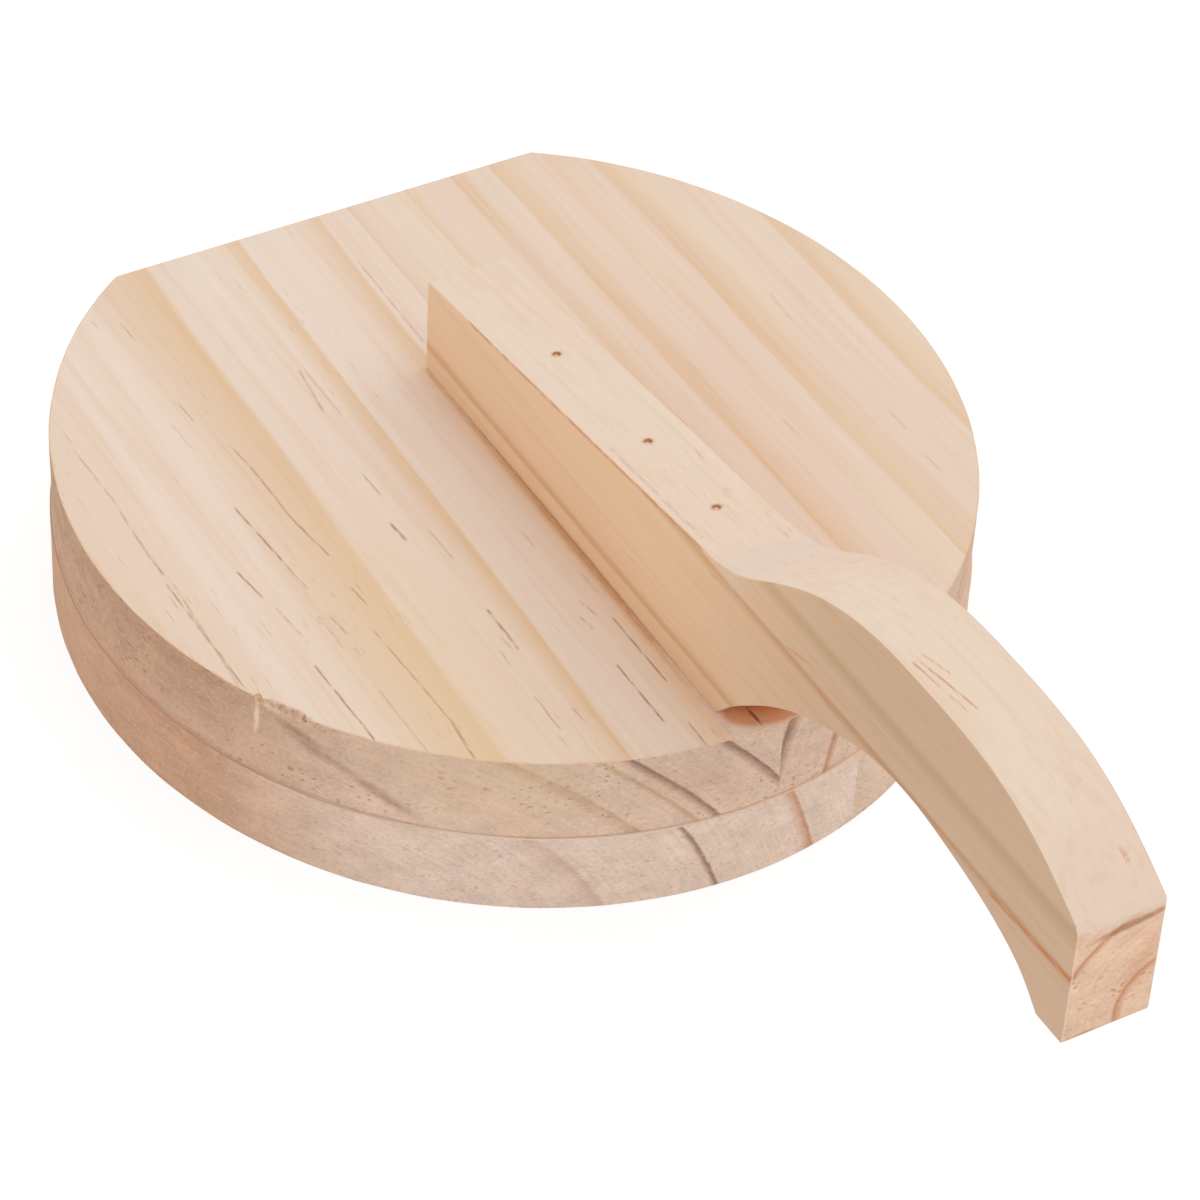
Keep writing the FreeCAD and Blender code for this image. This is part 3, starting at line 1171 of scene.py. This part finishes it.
class Fixings:
    """Equal nails or screws, driven in along one axis of the frame, with one CAD node each."""

    finish: Steel
    body: str
    slot: str
    axis: int
    seed: int
    clearance: float
    sharp_angle: float

    def names(self) -> list[str]:
        """The CAD nodes of the fixings."""
        raise NotImplementedError

    def shape(self, gap: float, place: Vector) -> bmesh.types.BMesh:
        """One fixing at a place, or with a gap, its hole."""
        raise NotImplementedError

    def places(self) -> list[Vector]:
        """The centre of each head's top."""
        places = []
        for low, high in map(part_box, self.names()):
            place = (low + high) / 2
            place[self.axis] = high[self.axis]
            places.append(place)
        return places

    def length(self) -> float:
        """The whole length of one, from its CAD node."""
        low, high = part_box(self.names()[0])
        return high[self.axis] - low[self.axis]

    def cutters(self) -> list[bpy.types.Object]:
        """The holes of all, as objects to cut with."""
        return [new_object("hole", self.shape(self.clearance, place)) for place in self.places()]

    def spread(self, piece: bpy.types.Object, tree: bpy.types.NodeTree) -> None:
        """Turns one fixing into the whole set and hands it over.

        Args:
            piece: One fixing, with its head's top at the origin.
            tree: The geometry tree of a set of fixings.
        """
        places = self.places()
        padded = places + places[-1:] * (len(PLACE_INPUTS) - len(places))
        material = self.finish.material()
        grow(piece, tree, {name: list(place) for name, place in zip(PLACE_INPUTS, padded)} | {
            "Count": len(places), "Turn Axis": [float(side == self.axis) for side in range(3)],
            "Seed": self.seed, "Material": material})
        shade(piece, self.sharp_angle)
        hand_over(piece, material, self.body, self.names())


@dataclass
class HandleNails(Fixings):
    """The three nails through the handle's foot into the upper board."""

    finish: Steel
    body: str = "lid"
    slot: str = "nail_steel"
    axis: int = 2
    seed: int = 3
    head_radius: float = 0.9 * MM
    head_height: float = 0.8 * MM
    head_edge: float = 0.08 * MM
    dome_height: float = 0.3 * MM
    dome_shares: tuple[tuple[float, float], ...] = ((0.6, 0.8), (0.93, 0.0))
    shank_radius: float = 0.75 * MM
    neck_height: float = 0.05 * MM
    point_length: float = 2.5 * MM
    point_radius: float = 0.05 * MM
    clearance: float = 0.03 * MM
    hole_above: float = 4 * MM
    sharp_angle: float = 40.0
    around: int = 28

    def names(self) -> list[str]:
        """The CAD nodes of the three nails."""
        return [f"{place}_handle_nail" for place in ("rear", "middle", "front")]

    def shape(self, gap: float, place: Vector) -> bmesh.types.BMesh:
        """One nail, or with a gap, its hole."""
        above, dome = (self.hole_above, 0.0) if gap else (0.0, self.dome_height)
        head, shank = self.head_radius + gap, self.shank_radius + gap
        neck, tip = -self.head_height - gap, -self.length()
        rows = [(self.point_radius, above + dome)]
        rows += [(head * a, above + dome * b) for a, b in self.dome_shares]
        rows += [(head, above - self.head_edge), (head, neck), (shank, neck - self.neck_height),
                 (shank, tip + self.point_length), (self.point_radius, tip - gap)]
        return lathe(rows, self.around, Matrix.Translation(place))

    def build(self, tree: bpy.types.NodeTree) -> None:
        """Makes the nails with the geometry tree of a set of fixings."""
        self.spread(new_object("handle_nails", self.shape(0.0, Vector())), tree)


@dataclass
class HingeScrews(Fixings):
    """Countersunk wood screws of the hinge leaves at one level."""

    level: str
    body: str
    finish: Steel
    slot: str = "screw_steel"
    axis: int = 1
    seed: int = 5
    head_radius: float = 2.4 * MM
    head_height: float = 1.0 * MM
    head_inset: float = 0.1 * MM
    head_edge: float = 0.08 * MM
    core_radius: float = 1.0 * MM
    thread_depth: float = 0.4 * MM
    thread_pitch: float = 1.1 * MM
    thread_share: float = 0.5
    thread_rows: int = 8
    plain_length: float = 3.0 * MM
    plain_share: float = 0.9
    point_length: float = 3.0 * MM
    point_thread: float = 0.15
    bare_point: float = 0.4 * MM
    last_row: float = 0.1 * MM
    least_core: float = 0.06 * MM
    point_radius: float = 0.03 * MM
    recess_length: float = 2.6 * MM
    recess_width: float = 0.6 * MM
    recess_depth: float = 0.8 * MM
    recess_taper: tuple[float, float] = (0.7, 1.25)
    clearance: float = 0.05 * MM
    hole_above: float = 0.5 * MM
    hole_point: float = 0.05 * MM
    sharp_angle: float = 35.0
    around: int = 32

    def names(self) -> list[str]:
        """The CAD nodes of the four screws."""
        return [f"{side}_hinge_{self.level}_{place}_screw" for side in SIDES for place in ("outer", "inner")]

    def thread(self, share: float, height: float) -> float:
        """The thread's ridge above the core, at an angle in turns and a height."""
        start, end = -self.head_height - self.plain_length, -self.length() + self.bare_point
        if not end < height < start:
            return 0.0
        phase = (height / self.thread_pitch - share) % 1.0
        ridge = max(0.0, 1 - abs(phase - 0.5) * 2 / self.thread_share)
        tip = min(1.0, (height - end) / self.point_length + self.point_thread)
        return ridge * self.thread_depth * tip

    def shape(self, gap: float, place: Vector) -> bmesh.types.BMesh:
        """One screw without its recess, or with a gap, its hole."""
        length = self.length()
        shank = self.core_radius + self.thread_depth
        straight = -length + self.point_length
        if gap:
            head = self.head_radius + gap
            rows = [(head, self.hole_above), (head, 0.0), (shank + gap, -self.head_height),
                    (shank + gap, straight), (self.hole_point, -length - gap)]
            return lathe(rows, self.around, self.turn(place))
        rows = [(self.head_radius - self.head_inset, 0.0), (self.head_radius, -self.head_edge),
                (shank, -self.head_height),
                (shank, -self.head_height - self.plain_length * self.plain_share),
                (self.core_radius, -self.head_height - self.plain_length)]
        step = self.thread_pitch / self.thread_rows
        height = rows[-1][1] - step
        while height > -length + self.last_row:
            taper = min(1.0, (height + length) / self.point_length) if height < straight else 1.0
            rows.append((max(self.least_core, self.core_radius * taper), height))
            height -= step
        rows.append((self.point_radius, -length))
        return lathe(rows, self.around, self.turn(place), self.thread)

    @staticmethod
    def turn(place: Vector) -> Matrix:
        """Turns a shape that stands on Z so that its head faces the rear, and moves it."""
        return Matrix.Translation(place) @ Matrix.Rotation(-math.pi / 2, 4, "X")

    def recess(self) -> list[bpy.types.Object]:
        """The two crossed slots of one head, narrower at their bottom."""
        bottom, top = self.recess_taper
        slots = []
        for quarter in (0, 1):
            shape = bmesh.new()
            bmesh.ops.create_cube(shape, size=1.0)
            for vertex in shape.verts:
                taper = bottom if vertex.co.z < 0 else top
                vertex.co.x *= self.recess_length * taper
                vertex.co.y *= self.recess_width * taper
                vertex.co.z *= 2 * self.recess_depth
            shape.transform(self.turn(Vector()) @ Matrix.Rotation(quarter * math.pi / 2, 4, "Z"))
            slots.append(new_object("slot", shape))
        return slots

    def build(self, tree: bpy.types.NodeTree) -> None:
        """Makes the four screws with the geometry tree of a set of fixings."""
        piece = new_object(self.level + "_hinge_screws", self.shape(0.0, Vector()))
        carve(piece, self.recess())
        self.spread(piece, tree)


@dataclass
class ButtHinge:
    """The steel plates and the pin of one hinge."""

    side: str
    leaf_finish: bpy.types.Material
    pin_finish: bpy.types.Material
    edge_width: float = 0.12 * MM
    edge_angle: float = 50.0
    weld_distance: float = 0.002 * MM
    flat_angle: float = 0.5
    sharp_angle: float = 35.0

    def worked(self, node: str, name: str) -> bpy.types.Object:
        """A copy of a CAD node with its edges broken, as the press tool leaves them."""
        shape = bmesh.new()
        shape.from_mesh(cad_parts[node].data)
        bmesh.ops.remove_doubles(shape, verts=shape.verts, dist=self.weld_distance)
        bmesh.ops.dissolve_limit(shape, angle_limit=math.radians(self.flat_angle), verts=shape.verts,
                                 edges=shape.edges)
        piece = new_object(name, shape)
        ease(piece, self.edge_width, 2, angle=self.edge_angle)
        shade(piece, self.sharp_angle)
        return piece

    def build(self) -> None:
        """Makes both leaves and the pin."""
        for name, steel, slot, body in (("lower_leaf", self.leaf_finish, "hinge_steel", "base"),
                                        ("upper_leaf", self.leaf_finish, "hinge_steel", "lid"),
                                        ("pin", self.pin_finish, "pin_steel", "base")):
            node = f"{self.side}_hinge_{name}"
            hand_over(self.worked(node, f"{self.side}_{name}"), steel, body, [node])


# Studio


@dataclass
class Studio:
    """White floor and backdrop, soft light from the upper right, and the camera."""

    azimuth: float = -31.8995
    elevation: float = 41.4867
    roll: float = 3.3789
    offset: Spot = (-0.020522, -0.0057035, 1.06)
    focal_pixels: float = 4728.763
    image_pixels: int = 1200
    sensor_mm: float = 36.0
    view_reach: float = 20.0
    floor_half: float = 4.0
    floor_grey: float = 0.9
    floor_glow: float = 0.75
    floor_shine: float = 1.1
    sky: float = 0.94
    key_power: float = 4.4
    key_place: Spot = (1.2, -0.1, 1.7)
    key_size: float = 1.3

    def camera(self) -> None:
        """Sets the camera at the photograph's viewing angle."""
        azimuth, elevation, roll = (math.radians(a) for a in (self.azimuth, self.elevation, self.roll))
        back = Vector((math.sin(azimuth) * math.cos(elevation), -math.cos(azimuth) * math.cos(elevation),
                       math.sin(elevation)))
        level = Vector((math.cos(azimuth), math.sin(azimuth), 0.0))
        upright = back.cross(level)
        right = math.cos(roll) * level + math.sin(roll) * upright
        above = -math.sin(roll) * level + math.cos(roll) * upright
        across, down, ahead = self.offset
        place = -(right * across - above * down - back * ahead)
        lens = bpy.data.cameras.new("camera")
        lens.sensor_width = self.sensor_mm
        lens.lens = self.focal_pixels * self.sensor_mm / self.image_pixels
        lens.clip_end = self.view_reach
        camera = in_scene("camera", lens)
        turn = Matrix((right, above, back)).transposed().to_4x4()
        camera.matrix_world = Matrix.Translation(place) @ turn
        bpy.context.scene.camera = camera

    @staticmethod
    def seen(nodes: Nodes) -> Wire:
        """1 for rays that the camera, a reflection or glass sends, and 0 for light on the object."""
        path = nodes.add("ShaderNodeLightPath", out="Is Camera Ray")
        other = nodes.math("MAXIMUM", path.output("Is Glossy Ray"), path.output("Is Transmission Ray"))
        return nodes.math("MAXIMUM", path, other)

    def floor(self) -> None:
        """A pale floor that looks white and keeps the object's soft shadow."""
        shape = bmesh.new()
        corners = [(-1, -1), (1, -1), (1, 1), (-1, 1)]
        spots = [shape.verts.new((x * self.floor_half, y * self.floor_half, 0.0)) for x, y in corners]
        shape.faces.new(spots)
        shape.normal_update()
        piece = new_object("floor", shape)
        material, nodes = new_material("white_floor")
        grey = (self.floor_grey,) * 3
        matte = nodes.add("ShaderNodeBsdfDiffuse", {"Color": grey})
        glow = nodes.add("ShaderNodeEmission", {"Color": PLAIN, "Strength": self.floor_shine})
        share = self.seen(nodes) * self.floor_glow
        surface(nodes, nodes.add("ShaderNodeMixShader", {0: share, 1: matte, 2: glow}))
        piece.data.materials.append(material)

    def world(self) -> None:
        """A plain white room: white to the camera, even light on the object."""
        world = bpy.data.worlds.new("room")
        nodes = emptied(world)
        light = nodes.add("ShaderNodeBackground", {"Color": PLAIN, "Strength": self.sky})
        white = nodes.add("ShaderNodeBackground", {"Color": PLAIN, "Strength": 1.0})
        surface(nodes, nodes.add("ShaderNodeMixShader", {0: self.seen(nodes), 1: light, 2: white}), "World")
        bpy.context.scene.world = world

    def lamp(self, name: str, place: Spot, power: float, size: float) -> None:
        """A soft square lamp that faces the press."""
        light = bpy.data.lights.new(name, "AREA")
        light.energy = power
        light.size = size
        lamp = in_scene(name, light)
        lamp.location = place
        lamp.rotation_euler = Vector(place).to_track_quat("Z", "Y").to_euler()

    def build(self) -> None:
        """Sets up the camera, floor, room and lamp."""
        self.camera()
        self.floor()
        self.world()
        self.lamp("key", self.key_place, self.key_power, self.key_size)
        bpy.context.scene.view_settings.view_transform = "Standard"


# The press's own woods and steels

UPPER_LEFT_DASHES = dashes(
    (-88.0, 37.0, -87.5, 18.7, 0.35), (-87.5, 18.7, -88.4, 4.2, 0.45), (-88.4, 4.2, -88.5, -7.2, 0.6),
    (-89.2, -10.6, -88.9, -46.5, 0.6), (-87.9, -11.6, -89.8, -47.0, 0.35), (-57.2, 23.5, -56.4, 14.0, 0.55),
    (-56.4, 14.0, -56.3, -2.7, 0.55), (-56.3, -2.7, -54.7, -17.4, 0.7), (-65.5, 4.3, -64.2, -14.9, 0.8),
    (-64.2, -14.9, -63.8, -24.7, 0.45), (-74.2, -14.4, -73.2, -23.1, 0.7),
    (-72.1, -28.1, -71.0, -39.8, 0.35), (-55.2, -29.0, -54.8, -35.4, 0.85),
    (-32.1, 40.0, -33.7, 25.9, 0.4, 1.0), (-30.9, 39.9, -30.8, 23.0, 0.25), (-35.9, 1.7, -35.7, -5.0, 0.45),
    (-38.2, -15.0, -37.8, -20.3, 0.8, 1.1), (-32.0, -19.6, -31.7, -30.0, 0.3),
    (-2.2, 69.5, -2.6, 37.9, 0.4), (-57.2, -43.6, -55.9, -74.9, 0.7),
    (-55.9, -74.9, -57.0, -86.6, 0.85, 1.0), (-65.4, -34.5, -65.2, -40.6, 0.4),
    (-63.3, -34.8, -62.7, -41.1, 0.5), (-65.3, -42.1, -65.3, -46.6, 0.35),
    (-73.0, -47.9, -72.4, -72.3, 0.85), (-64.7, -58.4, -64.5, -80.3, 0.35),
    (-33.0, -48.6, -33.1, -61.1, 0.85, 1.0), (-34.6, -57.3, -34.4, -60.7, 0.4),
    (-36.9, -61.0, -36.9, -65.1, 0.4), (-37.2, -76.4, -37.3, -86.6, 0.6),
    (-31.9, -82.8, -31.8, -87.2, 0.45), (-14.4, -30.0, -14.4, -34.8, 0.4), (-9.7, -47.6, -9.6, -53.5, 0.35),
    (-14.2, -55.1, -13.6, -59.2, 0.4), (-16.7, -59.5, -16.2, -62.8, 0.4), (-10.8, -62.9, -10.6, -83.7, 0.7),
    (-17.3, -75.7, -17.3, -94.2, 0.75), (-13.0, -97.2, -13.0, -104.4, 0.7), (-65.4, 76.9, -65.3, 73.8, 0.3),
    (-60.1, 72.7, -59.7, 66.9, 0.35), (-60.8, 41.4, -60.6, 35.4, 0.35), (-65.3, 35.3, -65.1, 27.5, 0.25),
    # The last two rows paint the contact shade along the left side of the handle's foot
    (-7.0, 26.0, -7.0, -24.0, 0.25, 1.0), (-7.0, -24.0, -7.0, -72.0, 0.55, 1.2),
)
UPPER_RIGHT_DASHES = dashes(
    (76.2, 17.3, 75.5, 7.6, 0.2, 1.0), (77.9, -31.7, 78.0, -36.5, 0.35), (55.3, -22.8, 55.6, -29.2, 0.25),
    (76.8, -46.9, 77.0, -53.2, 0.3), (47.0, 3.8, 47.5, 0.3, 0.3, 1.1), (34.6, -9.3, 35.3, -14.3, 0.3),
)
HANDLE_FLANK_DASHES = dashes(
    (74.5, -92.0, 76.6, -102.0, 0.5), (77.0, -117.0, 80.4, -130.0, 0.5), (76.3, -132.0, 75.1, -140.0, 0.5),
    (83.3, -150.0, 83.3, -155.0, 0.4), (66.8, 10.0, 77.7, -87.0, 0.6, 1.0),
    (75.2, -194.0, 76.4, -221.5, 0.9, 1.7),
)
HANDLE_TOP_DASHES = dashes(
    (-4.2, -159.0, -3.4, -166.5, 0.65), (-2.8, -159.5, -0.5, -174.5, 0.65),
    (-1.2, -158.0, 0.2, -164.0, 0.55), (-3.0, -170.0, -2.6, -174.0, 0.4),
    (8.8, -211.0, 9.0, -212.6, 0.5, 1.6), (10.5, -57.0, 10.0, -60.0, 0.3), (10.2, -89.0, 10.6, -93.0, 0.3),
    (-4.6, -48.0, -4.4, -84.0, 0.3, 1.2),
)


def woods(nails: Sequence[Vector]) -> dict[str, Pine]:
    """The pine of each stave and of the handle.

    Args:
        nails: The centres of the nails' heads.

    Returns:
        The woods by name.
    """
    top, tip = LID_TOP, GRIP_TIP
    terracotta, umber, straw = tone(202, 122, 82), tone(150, 106, 84), tone(226, 196, 154)
    rust, pale, khaki = tone(190, 130, 86), tone(240, 218, 190), tone(200, 180, 146)
    # Painted shade, warmed by painted bounce light, on the board's top under the handle's arch
    shade_under_arch = (Mark((-0.6, -99.2, top), (12.0, -99.2, top), 14.0, 0.9, tone(212, 146, 104), 0.75, 0.1),
                  Mark((0.5, -97.5, top), (12.0, -98.7, top), 12.5, 1.0, terracotta, 0.35, 0.1))
    upper_left = Pine(
        "pine_upper_left", (-100.0, -50.0), top,
        (Ring(-84.0, 6.0, Latewood.FAINT), Ring(-72.0, 5.0, Latewood.FAINT),
         Ring(-49.3, 12.0, Latewood.STRONG, Latewood.OLIVE, 3.0),
         Ring(-32.0, 2.0, Latewood.FAINT, Latewood.OLIVE, 1.2),
         Ring(-25.7, 7.0, Latewood.STRONG, Latewood.PURPLE, 1.9, 0.5),
         Ring(-5.0, 5.0, Latewood.MIDDLING, Latewood.PURPLE, 2.1, 0.5)),
        dashes=UPPER_LEFT_DASHES,
        marks=(Mark((-50.0, -125.0, top), (-50.0, -10.0, top), 62.0, 0.4, straw, 0.0),
               # Painted shade, warmed by painted bounce light, on the board beside the handle's foot
               Mark((-7.1, 45.0, top), (-7.1, -135.0, top), 3.4, 0.65, tone(214, 160, 110), 0.15),
               # Painted shadow of the handle on the upper board's front wall
               Mark((-24.0, -104.0, 35.0), (-3.0, -106.0, 27.0), 18.0, 0.26, tone(192, 150, 122), 0.0),
               *shade_under_arch, Mark((0.0, -98.5, top), (0.2, -104.8, top), 1.2, 0.85, tone(120, 72, 52)),
               Mark((-100.5, -4.0, 37.5), (-90.5, -47.0, 37.5), 9.0, 0.25, umber, 0.0),
               Mark((-100.5, -10.0, 23.5), (-86.0, -56.0, 23.5), 8.0, 0.45, tone(224, 190, 168), 0.0),
               Mark((-87.5, -53.0, 38.6), (-79.5, -65.0, 34.5), 3.4, 0.6, umber, 0.0),
               Mark((-87.5, -54.0, 37.0), (-76.0, -68.5, 30.5), 5.0, 0.5, umber, 0.0),
               Mark((-79.5, -64.5, 33.0), (-64.0, -81.5, 20.5), 4.4, 0.6, umber, 0.0),
               Mark((-88.6, -51.0, top), (-81.8, -61.2, top), 4.6, 0.95, tone(212, 178, 152), 0.6),
               Mark((-88.2, -50.8, 42.5), (-88.5, -50.2, 29.0), 2.2, 0.85, pale, 0.2)),
        shaded=0.08, flecks=0.3, pits=0.6, seed=1.0, side=tone(201, 162, 134), end=tone(225, 197, 176))
    upper_right = Pine(
        "pine_upper_right", (150.0, -5.0), top,
        (Ring(6.1, 3.0, Latewood.FAINT, Latewood.PURPLE, 2.8),
         Ring(21.4, 3.0, Latewood.SOFT, Latewood.ORANGE, 1.8), Ring(33.5, 4.0, Latewood.SOFT),
         Ring(43.3, 6.5, Latewood.MIDDLING), Ring(57.0, 5.0, Latewood.FAINT),
         Ring(66.0, 8.5, Latewood.MIDDLING), Ring(90.5, 9.0, Latewood.MIDDLING)),
        lean=-0.01, dashes=UPPER_RIGHT_DASHES, marks=shade_under_arch, dark=tone(166, 138, 120),
        shaded=0.04, flecks=0.12, pits=0.4, seed=4.0, cream=tone(230, 210, 190), pink=tone(229, 204, 184),
        end=tone(221, 192, 171))
    lower_left = Pine(
        "pine_lower_left", (-85.0, -25.0), BASE_TOP,
        (Ring(-62.0, 6.0, Latewood.SOFT, Latewood.FAINT, 5.0),
         Ring(-44.0, 6.0, Latewood.SOFT, Latewood.BROWN, 5.0),
         Ring(-14.6, 1.2, Latewood.SOFT, Latewood.PURPLE, 1.2),
         Ring(11.3, 2.6, Latewood.SOFT, Latewood.ORANGE, 2.6)),
        marks=(Mark((-100.5, -6.0, 18.0), (-90.5, -46.0, 18.0), 8.0, 0.5, tone(182, 122, 88), 0.0),),
        flecks=0.1, pits=0.3, pit=tone(170, 112, 84), seed=7.0, side=tone(205, 164, 134),
        end=tone(229, 207, 191))
    lower_right = Pine(
        "pine_lower_right", (-60.0, -90.0), BASE_TOP,
        (Ring(34.0, 2.0, Latewood.SOFT), Ring(52.0, 4.0, Latewood.SOFT), Ring(75.0, 4.0, Latewood.SOFT)),
        flecks=0.1, pits=0.3, seed=9.0, side=tone(214, 180, 150), end=tone(224, 198, 176))
    above, aside = Vector((0.0, 0.0, 1.0)), Vector((0.3, 0.0, 0.0))
    heads = [nail / MM + above for nail in nails]
    stains = tuple(Mark(tuple(head - aside), tuple(head + aside), 3.4, 0.6, rust) for head in heads)
    handle = Pine(
        "pine_handle", (17.0, 62.0), 62.0,
        (Ring(-18.0, 2.8, Latewood.KHAKI, edge=1.5), Ring(-10.6, 1.2, Latewood.RUSTY, Latewood.ORANGE, 1.5),
         Ring(5.2, 3.0, Latewood.SOFT, Latewood.ORANGE, 1.8)),
        lean=0.0, wander=0.8, ragged=0.5, flecks=0.15, seed=12.0, rings_upward=False,
        dashes=HANDLE_TOP_DASHES, flank_dashes=HANDLE_FLANK_DASHES,
        marks=stains + (
            Mark((-6.5, -185.0, 90.0), (-6.5, -120.0, 95.0), 14.0, 0.15, khaki, 0.0, 0.3),
            # Paler grain where the top turns up, with painted shade in the crease
            Mark((-9.0, -98.0, 80.5), (16.0, -98.0, 80.5), 18.0, 0.5, tone(220, 203, 191), 0.0),
            # Painted contact shade, warmed by painted bounce light, along the bottom of the handle's flank
            Mark((-6.7, 29.0, top), (-6.7, -97.0, top), 3.2, 0.85, tone(200, 148, 98), 0.45),
            Mark((6.0, tip, 65.0), (13.0, tip, 82.0), 9.0, 0.35, tone(214, 150, 106), 0.0),
            Mark((-5.5, tip, 87.6), (15.0, tip, 88.4), 3.6, 0.7, tone(232, 208, 188), 0.5),
            Mark((-4.5, tip, 84.3), (16.5, tip, 86.6), 2.6, 0.8, tone(176, 124, 92), 0.3),
            Mark((-6.5, tip, 59.7), (3.0, tip, 60.0), 1.8, 0.6, rust, 0.2)),
        cream=tone(231, 210, 189), pink=tone(230, 205, 185), end=tone(234, 198, 170),
        dark=tone(198, 118, 52), pit=tone(190, 128, 88))
    return {wood.name: wood for wood in (upper_left, upper_right, lower_left, lower_right, handle)}


def main() -> None:
    """Builds the studio and every piece of the press."""
    logging.basicConfig(level=logging.INFO, format="%(message)s")
    Studio().build()
    plated = Steel("plated_steel", tone(196, 198, 200), tone(150, 150, 148), 0.34)
    bright = Steel("bright_steel", tone(205, 206, 206), tone(160, 158, 152), 0.28)
    nail_steel = Steel("nail_steel", tone(240, 214, 180), tone(180, 134, 92), 0.6, tarnish=0.5, metallic=0.0)
    nails = HandleNails(nail_steel)
    pine = woods(nails.places())
    fixings = fixings_tree()
    blank = blank_tree()
    lower_screws = HingeScrews("lower", "base", plated)
    upper_screws = HingeScrews("upper", "lid", plated)
    lower = OvalBoard("lower", "base", LOWER_GLUE_LINE, pine["pine_lower_left"],
                      pine["pine_lower_right"], 11.0)
    lower.build(blank, lower_screws.cutters)
    upper = OvalBoard("upper", "lid", UPPER_GLUE_LINE, pine["pine_upper_left"],
                      pine["pine_upper_right"], 3.0, TornRim())
    upper.build(blank, lambda: upper_screws.cutters() + nails.cutters())
    GooseneckHandle(pine["pine_handle"]).build(nails.cutters)
    for fixing in (nails, lower_screws, upper_screws):
        fixing.build(fixings)
    leaf_finish, pin_finish = plated.material(), bright.material()
    for side in SIDES:
        ButtHinge(side, leaf_finish, pin_finish).build()


if __name__ == "__main__":
    main()
